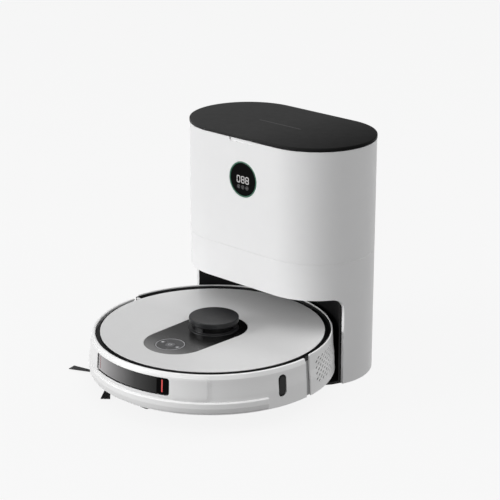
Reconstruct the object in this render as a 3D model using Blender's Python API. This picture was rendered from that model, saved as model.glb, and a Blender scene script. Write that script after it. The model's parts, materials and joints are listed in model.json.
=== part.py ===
"""Robot vacuum parked in its self-emptying dock, as an assembly of separate pieces.

The dock stands on the floor with its base centred on the origin. The robot drives out of the
dock's bay along -Y. Lengths are in metres, +Z is up, and heights are above the floor.
"""

import math

import bmesh
import bpy
from mathutils import Matrix

# Driving dimensions of the dock
GAP = 0.0003  # kept between touching pieces
DOCK_WIDTH = 0.2995
DOCK_DEPTH = 0.1705
DOCK_WALL = 0.0042
SEAM_Z = 0.1829  # between the lower and the upper casing
SHELL_TOP = 0.3443
LID_TOP = 0.3500
LID_OVERHANG = 0.0005
FLOOR_PLATE = 0.0040
FOOT_X, FOOT_REACH = 0.0980, 0.0380
BAY_TOP = 0.1297
BAY_FRONT_EDGE = -0.0280  # the side walls of the bay begin here
BAY_CORNER = 0.0175
BAY_RADIUS = 0.1785  # about the parked robot's axis
LINER_WALL = 0.0027
CEILING_Z = 0.1312
BAG_DECK_Z = 0.3375  # top of the deck under the lid
BAG_DECK_THICK = 0.0025
NOTCH_HALF, NOTCH_FLOOR_Z, NOTCH_BACK_Y = 0.0220, 0.3393, -0.0785  # the lid's finger notch
DISPLAY_X, DISPLAY_Z = 0.0040, 0.2870
DISPLAY_RADIUS = 0.0258
PORT_Z = 0.0500
DUCT_Y = 0.0620
DUCT_TOP = 0.2410
HINGE_Y, HINGE_Z = 0.0898, 0.3440
HINGE_KNUCKLE = 0.0038
HINGE_HOLE = 0.0018
MOTOR_X = 0.0950
CONTACT_X, CONTACT_Z = 0.0300, 0.0260

# Driving dimensions of the robot, about its own axis
ROBOT_Y = -0.1436
RIDGE_RADIUS = 0.1760
LID_RADIUS = 0.1586
LID_Z = 0.0806
LID_THICK = 0.0031
DECK_TOP = 0.0772
DECK_RADIUS = 0.1630
BUMPER_END = 1.7  # degrees past the robot's widest line
SHELL_START = 2.9
BELLY_Z = 0.0120
TURRET_Y = 0.0027
TURRET_RADIUS = 0.0353
TURRET_TOP = 0.0980
BUTTONS_Y = -0.0840
WHEEL_RADIUS = 0.0350
WHEEL_Y = 0.0060
WHEEL_IN, WHEEL_OUT = 0.1040, 0.1220
PIVOT_Y, PIVOT_Z = 0.0540, 0.0400
CASTER_Y, CASTER_TRAIL, CASTER_RADIUS = -0.1220, -0.0080, 0.0135
BRUSH_Y, BRUSH_Z, BRUSH_RADIUS = 0.0250, 0.0225, 0.0210
BRUSH_HALF = 0.0775
SIDE_BRUSH_X, SIDE_BRUSH_Y, SIDE_BRUSH_REACH = -0.1080, -0.0970, 0.0734
SIDE_BRUSH_TURN = -49.4
BLOWER_X, BLOWER_Y = -0.0850, 0.1030


def clear_scene():
    for thing in list(bpy.data.objects):
        bpy.data.objects.remove(thing)


def paint(name, colour, roughness, metallic=0.0):
    material = bpy.data.materials.new(name)
    material.use_nodes = True
    shader = material.node_tree.nodes["Principled BSDF"]
    shader.inputs["Base Color"].default_value = (*colour, 1.0)
    shader.inputs["Roughness"].default_value = roughness
    shader.inputs["Metallic"].default_value = metallic
    material.diffuse_color = (*colour, 1.0)
    return material


# Outlines

def stadium(inset=0.0, steps=12):
    """The dock's plan: two half circles joined by straight sides."""
    radius = DOCK_DEPTH / 2 - inset
    centre = (DOCK_WIDTH - DOCK_DEPTH) / 2
    points = []
    for side in (1, -1):
        for step in range(steps + 1):
            angle = math.radians(-90 * side + 180 * step / steps)
            points.append((side * centre + radius * math.cos(angle), radius * math.sin(angle)))
    return points


def arc(centre, radius, start, end, steps):
    found = []
    for step in range(steps + 1):
        angle = math.radians(start + (end - start) * step / steps)
        found.append((centre[0] + radius * math.cos(angle), centre[1] + radius * math.sin(angle)))
    return found


def circle(centre, radius, steps=32):
    return arc(centre, radius, 0, 360 * (steps - 1) / steps, steps - 1)


def rectangle(low, high):
    return [(low[0], low[1]), (high[0], low[1]), (high[0], high[1]), (low[0], high[1])]


def rounded_rectangle(low, high, radius, steps=4):
    corners = [(high[0] - radius, low[1] + radius, -90), (high[0] - radius, high[1] - radius, 0)]
    corners += [(low[0] + radius, high[1] - radius, 90), (low[0] + radius, low[1] + radius, 180)]
    points = []
    for x, y, start in corners:
        points += arc((x, y), radius, start, start + 90, steps)
    return points


def capsule(first, second, first_radius, second_radius, steps=12):
    """The outline of a belt round two circles, the second one further along -Y."""
    span = first[1] - second[1]
    lean = math.degrees(math.asin((first_radius - second_radius) / span))
    points = arc(first, first_radius, -lean, 180 + lean, steps)
    return points + arc(second, second_radius, 180 + lean, 360 - lean, steps)


def link(first, second, radius, steps=10):
    """The outline of an arm of even width with round ends."""
    turn = math.degrees(math.atan2(second[1] - first[1], second[0] - first[0]))
    points = arc(second, radius, turn - 90, turn + 90, steps)
    return points + arc(first, radius, turn + 90, turn + 270, steps)


def rotor(hub, tip, blades, root_half, tip_half, lean=0.0, turn=0.0):
    """The outline of a hub with blades or arms; half widths are in degrees."""
    points = []
    for blade in range(blades):
        middle = turn + 360 * blade / blades
        for radius, angle in (
            (hub, middle - root_half),
            (tip, middle + lean - tip_half),
            (tip, middle + lean + tip_half),
            (hub, middle + root_half),
        ):
            turned_by = math.radians(angle)
            points.append((radius * math.cos(turned_by), radius * math.sin(turned_by)))
    return points


# Solids

PLACES = {
    "X": lambda u, v, along: (along, u, v),
    "Y": lambda u, v, along: (u, along, v),
    "Z": lambda u, v, along: (u, v, along),
}


def prism(outline, low, high, axis="Z", into=None):
    """An outline pushed out along an axis."""
    shape = into or bmesh.new()
    place = PLACES[axis]
    ends = [[shape.verts.new(place(u, v, along)) for u, v in outline] for along in (low, high)]
    shape.faces.new(ends[0])
    shape.faces.new(ends[1])
    for i in range(len(outline)):
        j = (i + 1) % len(outline)
        shape.faces.new((ends[0][i], ends[0][j], ends[1][j], ends[1][i]))
    return shape


def sleeve(outer, inner, low, high):
    """A wall between two outlines with the same number of points."""
    shape = bmesh.new()
    rings = [
        [shape.verts.new((x, y, z)) for x, y in outline]
        for outline, z in ((outer, low), (outer, high), (inner, high), (inner, low))
    ]
    for first, second in zip(rings, rings[1:] + rings[:1]):
        for i in range(len(outer)):
            j = (i + 1) % len(outer)
            shape.faces.new((first[i], first[j], second[j], second[i]))
    return shape


def block(low, high, into=None):
    return prism(rectangle(low[:2], high[:2]), low[2], high[2], into=into)


def blocks(pairs):
    shape = bmesh.new()
    for low, high in pairs:
        block(low, high, into=shape)
    return shape


def turned(profile, steps=48, start=0.0, sweep=360.0, axis="Z"):
    """A closed profile of (radius, height) points, turned about an axis."""
    shape = bmesh.new()
    place = PLACES[axis]
    whole = sweep >= 360
    poles = {}
    columns = []
    for step in range(steps + (0 if whole else 1)):
        angle = math.radians(start + sweep * step / steps)
        column = []
        for i, (radius, height) in enumerate(profile):
            if radius > 0:
                u, v = radius * math.cos(angle), radius * math.sin(angle)
                column.append(shape.verts.new(place(u, v, height)))
                continue
            if i not in poles:
                poles[i] = shape.verts.new(place(0, 0, height))
            column.append(poles[i])
        columns.append(column)
    for left, right in zip(columns, columns[1:] + (columns[:1] if whole else [])):
        for i in range(len(profile)):
            j = (i + 1) % len(profile)
            corners = list(dict.fromkeys((left[i], left[j], right[j], right[i])))
            if len(corners) > 2:
                shape.faces.new(corners)
    if not whole:
        shape.faces.new(columns[0])
        shape.faces.new(columns[-1])
    return shape


def drum(radius, low, high, steps=32, axis="Z"):
    return turned([(0, low), (radius, low), (radius, high), (0, high)], steps, axis=axis)


def hoop(inner, outer, low, high, steps=48, start=0.0, sweep=360.0, axis="Z"):
    profile = [(inner, low), (outer, low), (outer, high), (inner, high)]
    return turned(profile, steps, start, sweep, axis)


def pipe(path, outer, inner, sides=12):
    """A tube round a path of (y, z) points in the plane x = 0."""
    shape = bmesh.new()
    walls = {outer: [], inner: []}
    for i, point in enumerate(path):
        before, after = path[max(i - 1, 0)], path[min(i + 1, len(path) - 1)]
        heading = math.atan2(after[1] - before[1], after[0] - before[0])
        for radius, rings in walls.items():
            ring = []
            for side in range(sides):
                angle = 2 * math.pi * side / sides
                across = radius * math.sin(angle)
                y = point[0] - across * math.sin(heading)
                z = point[1] + across * math.cos(heading)
                ring.append(shape.verts.new((radius * math.cos(angle), y, z)))
            rings.append(ring)
    pairs = [pair for rings in walls.values() for pair in zip(rings, rings[1:])]
    pairs += [(walls[outer][end], walls[inner][end]) for end in (0, -1)]
    for first, second in pairs:
        for i in range(sides):
            j = (i + 1) % sides
            shape.faces.new((first[i], first[j], second[j], second[i]))
    return shape


def moved(shape, x=0.0, y=0.0, z=0.0):
    bmesh.ops.translate(shape, vec=(x, y, z), verts=shape.verts)
    return shape


def spun(shape, degrees):
    """The shape turned about the Z axis."""
    turn = Matrix.Rotation(math.radians(degrees), 3, "Z")
    bmesh.ops.rotate(shape, cent=(0, 0, 0), matrix=turn, verts=shape.verts)
    return shape


# Objects

def empty(name, at=(0, 0, 0), parent=None):
    thing = bpy.data.objects.new(name, None)
    thing.location = at
    thing.parent = parent
    bpy.context.scene.collection.objects.link(thing)
    return thing


def piece(name, shape, material, at=(0, 0, 0), parent=None):
    """A named object made from a bmesh, with its origin at the given place."""
    bmesh.ops.recalc_face_normals(shape, faces=shape.faces)
    mesh = bpy.data.meshes.new(name)
    shape.to_mesh(mesh)
    shape.free()
    mesh.materials.append(material)
    mesh.shade_smooth()
    mesh.set_sharp_from_angle(angle=math.radians(35))
    thing = bpy.data.objects.new(name, mesh)
    thing.location = at
    thing.parent = parent
    bpy.context.scene.collection.objects.link(thing)
    return thing


def tooled(target, shape, operation="DIFFERENCE"):
    """Applies a hidden tool shape, in the target's own coordinates, as a Boolean."""
    count = len(target.modifiers) + 1
    tool = piece(f"{target.name}.tool{count}", shape, target.data.materials[0], parent=target)
    tool.hide_render = True
    tool.display_type = "WIRE"
    boolean = target.modifiers.new(f"{operation.lower()}{count}", "BOOLEAN")
    boolean.object = tool
    boolean.operation = operation
    boolean.solver = "EXACT"
    return target


def cut(target, *shapes):
    for shape in shapes:
        tooled(target, shape)
    return target


def joined(target, *shapes):
    for shape in shapes:
        tooled(target, shape, "UNION")
    return target


def bevelled(target, width, segments=2):
    bevel = target.modifiers.new("rounding", "BEVEL")
    bevel.width = width
    bevel.segments = segments
    bevel.limit_method = "ANGLE"
    return target


# The dock

def bay_notch():
    """The space that is cut across the front of the casing, seen from the side."""
    corner = (BAY_FRONT_EDGE - BAY_CORNER, BAY_TOP - BAY_CORNER)
    profile = [(-0.2, -0.01), (BAY_FRONT_EDGE, -0.01)]
    profile += arc(corner, BAY_CORNER, 0, 90, 6)
    profile += [(-0.2, BAY_TOP)]
    return prism(profile, -0.2, 0.2, "X")


def hinge_lug(side):
    outline = [(0.0830, 0.3390), (HINGE_Y, HINGE_Z - HINGE_KNUCKLE)]
    outline += arc((HINGE_Y, HINGE_Z), HINGE_KNUCKLE, -80, 180, 10)
    outline += [(0.0860, 0.3438), (0.0830, 0.3438)]
    near, far = 0.0305 * side, 0.0365 * side
    return prism(outline, min(near, far), max(near, far), "X")


def hinge_bore(half=0.06):
    return prism(circle((HINGE_Y, HINGE_Z), HINGE_HOLE, 12), -half, half, "X")


def dock_casings(white):
    inner = DOCK_WALL
    lower = piece("dock_lower_casing", sleeve(stadium(), stadium(inner), 0.0006, SEAM_Z - GAP), white)
    cut(lower, bay_notch(), block((0.0380, 0.070, 0.0240), (0.0620, 0.100, 0.0400)))
    upper_wall = sleeve(stadium(), stadium(inner), SEAM_Z + GAP, SHELL_TOP)
    upper = piece("dock_upper_casing", upper_wall, white)
    pocket_wall = 0.0014
    pocket = block((-NOTCH_HALF - pocket_wall, -0.0815, NOTCH_FLOOR_Z - pocket_wall),
                   (NOTCH_HALF + pocket_wall, NOTCH_BACK_Y + pocket_wall, SHELL_TOP))
    finger_notch = block((-NOTCH_HALF, -0.100, NOTCH_FLOOR_Z), (NOTCH_HALF, NOTCH_BACK_Y, 0.3600))
    display_hole = moved(drum(DISPLAY_RADIUS + GAP, -0.1, -0.07, 32, "Y"),
                         x=DISPLAY_X, z=DISPLAY_Z)
    vent = block((-0.0553, 0.070, 0.2147), (0.0553, 0.100, 0.2753))
    joined(upper, hinge_lug(1), hinge_lug(-1), pocket)
    cut(upper, finger_notch, display_hole, vent, hinge_bore())


def dock_lid(black):
    lid = prism(stadium(-LID_OVERHANG), SHELL_TOP + GAP, LID_TOP)
    lid = piece("dock_lid", moved(lid, y=-HINGE_Y, z=-HINGE_Z), black, at=(0, HINGE_Y, HINGE_Z))
    joined(
        lid,
        drum(HINGE_KNUCKLE, -0.0300, 0.0300, 20, "X"),
        block((-0.0300, -0.0060, 0.0010), (0.0300, 0.0010, HINGE_KNUCKLE)),
    )
    cut(lid, drum(HINGE_HOLE, -0.05, 0.05, 12, "X"))
    return lid


def lid_hinge_pin(steel):
    pin = drum(HINGE_HOLE - GAP, -0.0365, 0.0365, 12, "X")
    piece("lid_hinge_pin", pin, steel, at=(0, HINGE_Y, HINGE_Z))


def bay_liner(black):
    """The bay's ceiling and the round wall behind the parked robot."""
    inset = DOCK_WALL + GAP
    ceiling = prism(stadium(0.0), CEILING_Z, CEILING_Z + LINER_WALL)
    liner = piece("bay_liner", ceiling, black)
    low = FLOOR_PLATE + GAP
    wall = hoop(BAY_RADIUS, BAY_RADIUS + LINER_WALL, low, CEILING_Z + 0.001, 40, 25, 130)
    joined(liner, moved(wall, y=ROBOT_Y))
    tooled(liner, prism(stadium(inset), 0.0, 0.2), "INTERSECT")
    cut(
        liner,
        moved(drum(0.0135, 0.0, 0.06, 24, "Y"), z=PORT_Z),
        moved(drum(0.0135, 0.12, 0.15, 24), y=DUCT_Y),
        blocks(
            ((x - 0.0062, 0.0, CONTACT_Z - 0.0034), (x + 0.0062, 0.06, CONTACT_Z + 0.0034))
            for x in (-CONTACT_X, CONTACT_X)
        ),
    )


def floor_plate(black, rubber):
    """The plate under the dock, with a long non-slip foot let into it on each side."""
    plate = piece("floor_plate", prism(stadium(DOCK_WALL + GAP), 0.0, FLOOR_PLATE), black)
    for side, x in (("left", -FOOT_X), ("right", FOOT_X)):
        front, rear = (x, -FOOT_REACH), (x, FOOT_REACH)
        cut(plate, prism(link(front, rear, 0.0090 + GAP), -0.01, 0.0020))
        piece(f"foot_{side}", prism(link(front, rear, 0.0090), 0.0, 0.0017), rubber)


def bag_compartment(grey):
    """The open tub under the lid that holds the dust bag, hung from a deck."""
    deck = prism(stadium(DOCK_WALL + GAP), BAG_DECK_Z - BAG_DECK_THICK, BAG_DECK_Z)
    deck = piece("bag_compartment", deck, grey)
    tub_top = BAG_DECK_Z - BAG_DECK_THICK / 2
    joined(deck, block((-0.1000, -0.0660, 0.1950), (0.0400, 0.0400, tub_top)))
    cut(
        deck,
        block((-0.0975, -0.0635, 0.1975), (0.0375, 0.0375, 0.3600)),
        moved(drum(0.0133, 0.03, 0.05, 24, "Y"), z=DUCT_TOP),
    )


def dust_bag(paper, card):
    bag = piece("dust_bag", block((-0.0920, -0.0580, 0.2000), (0.0320, 0.0290, 0.3180)), paper)
    bevelled(bag, 0.018, 3)
    plate = rounded_rectangle((-0.0450, 0.1960 + 0.003), (0.0350, 0.2850), 0.006)
    collar = piece("bag_collar", prism(plate, 0.0330, 0.0370, "Y"), card)
    cut(collar, moved(drum(0.0120, 0.0, 0.06, 24, "Y"), z=DUCT_TOP))


def air_duct(black):
    """The tube that carries dust from the robot up to the bag."""
    bend = 0.0170
    path = [(0.0381, PORT_Z)] + arc((DUCT_Y - bend, PORT_Z + bend), bend, -90, 0, 4)
    path += arc((DUCT_Y - bend, DUCT_TOP - bend), bend, 0, 90, 4) + [(0.0403, DUCT_TOP)]
    piece("air_duct", pipe(path, 0.0130, 0.0110), black)


def port_seal(rubber):
    seal = hoop(0.0138, 0.0180, 0.0296, 0.0335, 24, axis="Y")
    piece("port_seal", seal, rubber, at=(0, 0, PORT_Z))


def suction_unit(black, steel, grey):
    """The blower that draws the dust out of the robot."""
    profile = [(0, 0.195), (0.045, 0.195), (0.045, 0.300), (0.018, 0.300), (0.018, 0.2975)]
    profile += [(0.0425, 0.2975), (0.0425, 0.1975), (0, 0.1975)]
    piece("suction_housing", turned(profile, 32), black, at=(MOTOR_X, 0, 0))
    profile = [(0, 0.1985), (0.026, 0.1985), (0.026, 0.255), (0.012, 0.262), (0, 0.262)]
    piece("suction_motor", turned(profile, 24), steel, at=(MOTOR_X, 0, 0))
    blades = prism(rotor(0.012, 0.036, 9, 7, 2, 24), 0.268, 0.288)
    impeller = piece("suction_impeller", blades, grey, at=(MOTOR_X, 0, 0))
    joined(impeller, drum(0.036, 0.266, 0.270, 36))


def dock_display(glass, glow):
    front = -DOCK_DEPTH / 2
    glass_disc = drum(0.0236, front - 0.0002, front + 0.0035, 32, "Y")
    piece("display_window", glass_disc, glass, at=(DISPLAY_X, 0, DISPLAY_Z))
    ring = hoop(0.0239, DISPLAY_RADIUS, front - 0.0002, front + 0.0030, 32, axis="Y")
    piece("display_ring", ring, glow, at=(DISPLAY_X, 0, DISPLAY_Z))


def dock_rear_fittings(grey, black, green):
    grille = piece("exhaust_grille", block((-0.055, 0.0812, 0.215), (0.055, 0.0850, 0.275)), grey)
    slots = (0.2205 + 0.0085 * row for row in range(7))
    cut(grille, blocks(((-0.050, 0.07, z - 0.0018), (0.050, 0.10, z + 0.0018)) for z in slots))
    inlet = piece("mains_inlet", block((0.0383, 0.0680, 0.0243), (0.0617, 0.0850, 0.0397)), black)
    cut(inlet, prism(link((0.0460, 0.0320), (0.0540, 0.0320), 0.0045), 0.0730, 0.10, "Y"))
    board = block((-0.1080, 0.0500, 0.0300), (-0.0400, 0.0516, 0.1150))
    piece("power_board", board, green)


def dock_contact(side, x, brass):
    pad = piece(f"dock_contact_{side}", block((-0.0055, 0, -0.0028), (0.0055, 0.0158, 0.0028)),
                brass, at=(x, 0.0283, CONTACT_Z))
    bevelled(pad, 0.0012)


# The robot, modelled about its own axis

def chassis(dark, robot):
    """The belly pan, with the caster's cup and the wheels' pivot ears on it."""
    profile = [(0, BELLY_Z), (0.140, BELLY_Z), (0.1672, 0.0225), (0.1672, 0.0300)]
    profile += [(0.1647, 0.0300), (0.1647, 0.0242), (0.1388, 0.0145), (0, 0.0145)]
    pan = piece("chassis", turned(profile, 52), dark, parent=robot)
    joined(pan, moved(drum(0.0270, BELLY_Z + 0.0004, 0.0400, 24), y=CASTER_Y))
    for side in (1, -1):
        near, far = 0.0852 * side, 0.0878 * side
        ear = link((PIVOT_Y, 0.0200), (PIVOT_Y, PIVOT_Z), 0.0070)
        joined(pan, prism(ear, min(near, far), max(near, far), "X"))
    wells = blocks(
        ((min(side * 0.0885, side * 0.1250), -0.0330, -0.01),
         (max(side * 0.0885, side * 0.1250), 0.0705, 0.035))
        for side in (1, -1)
    )
    bores = prism(circle((PIVOT_Y, PIVOT_Z), 0.0034, 12), -0.2, 0.2, "X")
    under_cup = moved(drum(0.0245, -0.01, 0.0375, 24), y=CASTER_Y)
    stem_bore = moved(drum(0.0042, 0.0, 0.06, 16), y=CASTER_Y)
    shaft_bore = moved(drum(0.0040, 0.0, 0.06, 16), SIDE_BRUSH_X, SIDE_BRUSH_Y)
    brush_slot = block((-0.0783, 0.0010, -0.01), (0.0783, 0.0490, 0.03))
    cut(pan, wells, bores, under_cup, stem_bore, shaft_bore, brush_slot)


def bumper_profile():
    return [(0.1735, 0.0246), (0.1728, 0.0500), (0.1715, 0.0650), (0.1710, 0.0740),
            (0.1687, 0.0800), (0.1656, 0.0800), (0.1656, 0.0778), (0.1678, 0.0765),
            (0.1688, 0.0700), (0.1705, 0.0500), (0.1711, 0.0246)]


def bumper(white, glass, robot):
    """The sprung front half of the side wall, with its two windows."""
    sweep = 180 + 2 * BUMPER_END
    shell = turned(bumper_profile(), 42, 180 - BUMPER_END, sweep)
    shell = piece("bumper", shell, white, parent=robot)
    ridge = [(0.1718, 0.0280), (RIDGE_RADIUS - 0.0008, 0.0280), (RIDGE_RADIUS, 0.0340)]
    ridge += [(RIDGE_RADIUS - 0.0004, 0.0412), (0.1722, 0.0425)]
    joined(shell, turned(ridge, 32, 200.4, 139.2))
    cut(shell, hoop(0.16, 0.18, 0.0485, 0.0730, 12, 247.7, 46.9))
    slot = prism(link((0, 0.0442), (0, 0.0634), 0.0064), 0.10, 0.20, "X")
    cut(shell, spun(slot, -12.8))
    window = [(0.1699, 0.0488), (0.1721, 0.0488), (0.1714, 0.0727), (0.1693, 0.0727)]
    piece("front_window", turned(window, 12, 247.85, 46.6), glass, parent=robot)
    oval = prism(link((0, 0.0442), (0, 0.0634), 0.0061), 0.1697, 0.1716, "X")
    piece("side_window", spun(oval, -12.8), glass, parent=robot)


def rear_shell(white, robot):
    profile = [(0.1735, 0.0240), (0.1729, 0.0290), (0.1723, 0.0460), (0.1706, 0.0590),
               (0.1698, 0.0770), (0.1696, 0.0830), (0.1675, 0.0830), (0.1675, 0.0740),
               (0.1683, 0.0590), (0.1699, 0.0460), (0.1706, 0.0240)]
    shell = turned(profile, 40, SHELL_START, 180 - 2 * SHELL_START)
    shell = piece("rear_shell", shell, white, parent=robot)
    cut(shell, moved(drum(0.0115, 0.15, 0.19, 24, "Y"), z=PORT_Z))
    for side in (1, -1):
        cut(shell, spun(block((-0.0068, 0.16, 0.0222), (0.0068, 0.18, 0.0298)), -10 * side))


def robot_contact(side, turn, brass, robot):
    plate = block((-0.0065, 0.1706, 0.0225), (0.0065, 0.1726, 0.0295))
    piece(f"robot_contact_{side}", spun(plate, turn), brass, parent=robot)


def pad_outline(grow=0.0):
    return capsule((0, TURRET_Y), (0, -0.0720), 0.0475 + grow, 0.0450 + grow, 16)


def robot_top(dark, silver, inlay_grey, robot):
    """The deck, the round lid on it and the dark inlay let into the lid."""
    deck = piece("top_deck", drum(DECK_RADIUS, 0.0742, DECK_TOP, 56), dark, parent=robot)
    cut(deck, moved(drum(0.0362, 0.07, 0.09, 32), y=TURRET_Y))
    low = LID_Z - LID_THICK
    lid = turned([(0, low), (LID_RADIUS, low), (LID_RADIUS, LID_Z - 0.0006),
                  (LID_RADIUS - 0.0006, LID_Z), (0, LID_Z)], 64)
    lid = piece("robot_lid", lid, silver, parent=robot)
    cut(lid, prism(pad_outline(GAP), 0.07, 0.09))
    inlay = piece("lid_inlay", prism(pad_outline(), low + 0.0001, LID_Z - 0.0003), inlay_grey,
                  parent=robot)
    cut(inlay, moved(drum(0.0358, 0.07, 0.09, 48), y=TURRET_Y))
    cut(inlay, moved(drum(0.0213, 0.07, 0.09, 32), y=BUTTONS_Y))


def controls(dark, pale, robot):
    """A round key panel with a power button and a smaller key on each side of it."""
    panel = turned([(0, 0.0777), (0.0210, 0.0777), (0.0210, 0.0803), (0.0190, 0.0800),
                    (0, 0.0796)], 32)
    panel = piece("key_panel", panel, dark, at=(0, BUTTONS_Y, 0), parent=robot)
    keys = (("power_button", 0.0, 0.0070), ("home_button", -0.0142, 0.0036),
            ("spot_button", 0.0142, 0.0036))
    for name, x, radius in keys:
        cut(panel, moved(spun(drum(radius + GAP, 0.07, 0.09, 24), 4), x))
        key = drum(radius, 0.0781, 0.0801, 24)
        piece(name, key, pale, at=(x, BUTTONS_Y, 0), parent=robot)


def turret(dark, robot):
    """The laser range finder: a fixed cup and cap with the spinning head between."""
    at = (0, TURRET_Y, 0)
    cup = [(0, 0.0680), (0.0355, 0.0680), (0.0355, 0.0815), (0.0300, 0.0825),
           (0.0240, 0.0825), (0.0240, 0.0705), (0, 0.0705)]
    base = piece("turret_base", turned(cup, 32), dark, at=at, parent=robot)
    for middle in (30, 150, 270):
        joined(base, hoop(0.0252, 0.0285, 0.0800, 0.0894, 4, middle - 12, 24))
    head = piece("lidar_head", drum(0.0225, 0.0709, 0.0890, 32), dark, at=at, parent=robot)
    cut(head, block((-0.02, 0.0175, 0.0780), (0.02, 0.04, 0.10)),
        moved(drum(0.0030, 0.010, 0.03, 12, "Y"), x=0.006, z=0.0835),
        moved(drum(0.0030, 0.010, 0.03, 12, "Y"), x=-0.007, z=0.0835))
    radius = TURRET_RADIUS
    cap = [(0, 0.0897), (radius - 0.0012, 0.0897), (radius, 0.0910), (radius, 0.0962)]
    cap += [(radius - 0.0018, TURRET_TOP), (0, TURRET_TOP)]
    piece("turret_cap", turned(cap, 36), dark, at=at, parent=robot)


def drive_wheel(name, side, rubber, grey, dark, robot):
    """A sprung arm with the drive motor in it, and the wheel on its end."""
    near, far = WHEEL_IN, WHEEL_OUT

    def along(*values):
        return sorted(side * value for value in values)

    centre = (side * (near + far) / 2, WHEEL_Y, WHEEL_RADIUS)
    half = (far - near) / 2
    tyre = [(0.0280, -half), (0.0335, -half), (WHEEL_RADIUS, -half + 0.0025),
            (WHEEL_RADIUS, half - 0.0025), (0.0335, half), (0.0280, half)]
    piece(f"{name}_tyre", turned(tyre, 28, axis="X"), rubber, at=centre, parent=robot)
    rim = [(0, -side * half), (0.0277, -side * half), (0.0277, side * half),
           (0.0230, side * half), (0.0200, side * 0.0050), (0.0080, side * 0.0050),
           (0.0070, side * half), (0, side * half)]
    hub = piece(f"{name}_hub", turned(rim, 24, axis="X"), grey, at=centre, parent=robot)
    shaft = along(near - 0.0050, near + 0.0020)
    joined(hub, moved(drum(0.0040, *shaft, 16, "X"), x=-centre[0]))
    pivot = (side * 0.0970, PIVOT_Y, PIVOT_Z)
    wheel = (WHEEL_Y - PIVOT_Y, WHEEL_RADIUS - PIVOT_Z)
    outline = link((0, 0), wheel, 0.0130)
    body = moved(prism(outline, *along(0.0900, near - 0.0006), "X"), x=-pivot[0])
    arm = piece(f"{name}_arm", body, dark, at=pivot, parent=robot)
    joined(arm, moved(drum(0.0030, *along(0.0840, 0.0910), 12, "X"), x=-pivot[0]))
    bore = moved(drum(0.0044, *along(near - 0.0062, near + 0.01), 16, "X"), -pivot[0], *wheel)
    cut(arm, bore)


def caster(dark, rubber, robot):
    at = (0, CASTER_Y, 0)
    fork = piece("caster_fork", drum(0.0165, 0.0300, 0.0330, 24), dark, at=at, parent=robot)
    legs = [prism(link((CASTER_TRAIL, CASTER_RADIUS), (CASTER_TRAIL / 2, 0.0305), 0.0045),
                  min(side * 0.0066, side * 0.0092), max(side * 0.0066, side * 0.0092), "X")
            for side in (1, -1)]
    joined(fork, drum(0.0038, 0.0325, 0.0440, 16), *legs)
    cut(fork, prism(circle((CASTER_TRAIL, CASTER_RADIUS), 0.0023, 12), -0.02, 0.02, "X"),
        blocks((((-0.03, -0.03, 0.0332), (-0.0045, 0.03, 0.05)),
                ((0.0045, -0.03, 0.0332), (0.03, 0.03, 0.05)))))
    wheel = [(0, -0.0092), (0.0020, -0.0092), (0.0020, -0.0062), (CASTER_RADIUS - 0.0015, -0.0062),
             (CASTER_RADIUS, -0.0047), (CASTER_RADIUS, 0.0047), (CASTER_RADIUS - 0.0015, 0.0062),
             (0.0020, 0.0062), (0.0020, 0.0092), (0, 0.0092)]
    hub = (0, CASTER_Y + CASTER_TRAIL, CASTER_RADIUS)
    piece("caster_wheel", turned(wheel, 20, axis="X"), rubber, at=hub, parent=robot)


def main_brush(rubber, robot):
    """A roller with four blades wound in a chevron from its middle."""
    shape = bmesh.new()
    loops = []
    steps = 12
    for step in range(steps + 1):
        x = BRUSH_HALF * (2 * step / steps - 1)
        turn = 60 * abs(x) / BRUSH_HALF
        outline = rotor(0.0110, BRUSH_RADIUS, 4, 14, 4, 0, turn)
        loops.append([shape.verts.new((x, y, z)) for y, z in outline])
    shape.faces.new(loops[0])
    shape.faces.new(loops[-1])
    for first, second in zip(loops, loops[1:]):
        for i in range(len(first)):
            j = (i + 1) % len(first)
            shape.faces.new((first[i], first[j], second[j], second[i]))
    piece("main_brush", shape, rubber, at=(0, BRUSH_Y, BRUSH_Z), parent=robot)


def brush_parts(dark, steel, robot):
    guard = prism(rounded_rectangle((-0.0865, -0.0060), (0.0865, 0.0560), 0.006), 0.0090, 0.0117)
    guard = piece("brush_guard", guard, dark, parent=robot)
    cut(guard, block((-0.0783, 0.0015, 0.0), (0.0783, 0.0485, 0.03)))
    gearbox = block((0.0788, -0.0300, 0.0150), (0.0845, 0.0340, 0.0460))
    gearbox = piece("brush_gearbox", gearbox, dark, parent=robot)
    joined(gearbox, moved(drum(0.0120, 0.0300, 0.0800, 24, "X"), y=-0.0155, z=0.0320))
    case = drum(0.0130, 0.0262, 0.0500, 24)
    piece("side_brush_motor", case, steel, at=(SIDE_BRUSH_X, SIDE_BRUSH_Y, 0), parent=robot)


def side_brush(dark, robot):
    """Three drooping bristle arms on a small hub."""
    outline = rotor(0.0090, SIDE_BRUSH_REACH, 3, 14, 6, 0, SIDE_BRUSH_TURN)
    arms = prism(outline, 0.0015, 0.0031)
    for vertex in arms.verts:
        vertex.co.z += 0.085 * (SIDE_BRUSH_REACH - math.hypot(vertex.co.x, vertex.co.y))
    at = (SIDE_BRUSH_X, SIDE_BRUSH_Y, 0)
    brush = piece("side_brush", arms, dark, at=at, parent=robot)
    hub = [(0, 0.0050), (0.0090, 0.0050), (0.0120, 0.0075), (0.0120, 0.0100), (0.0050, 0.0113),
           (0.0022, 0.0113), (0.0022, 0.0255), (0, 0.0255)]
    joined(brush, turned(hub, 24))


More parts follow.
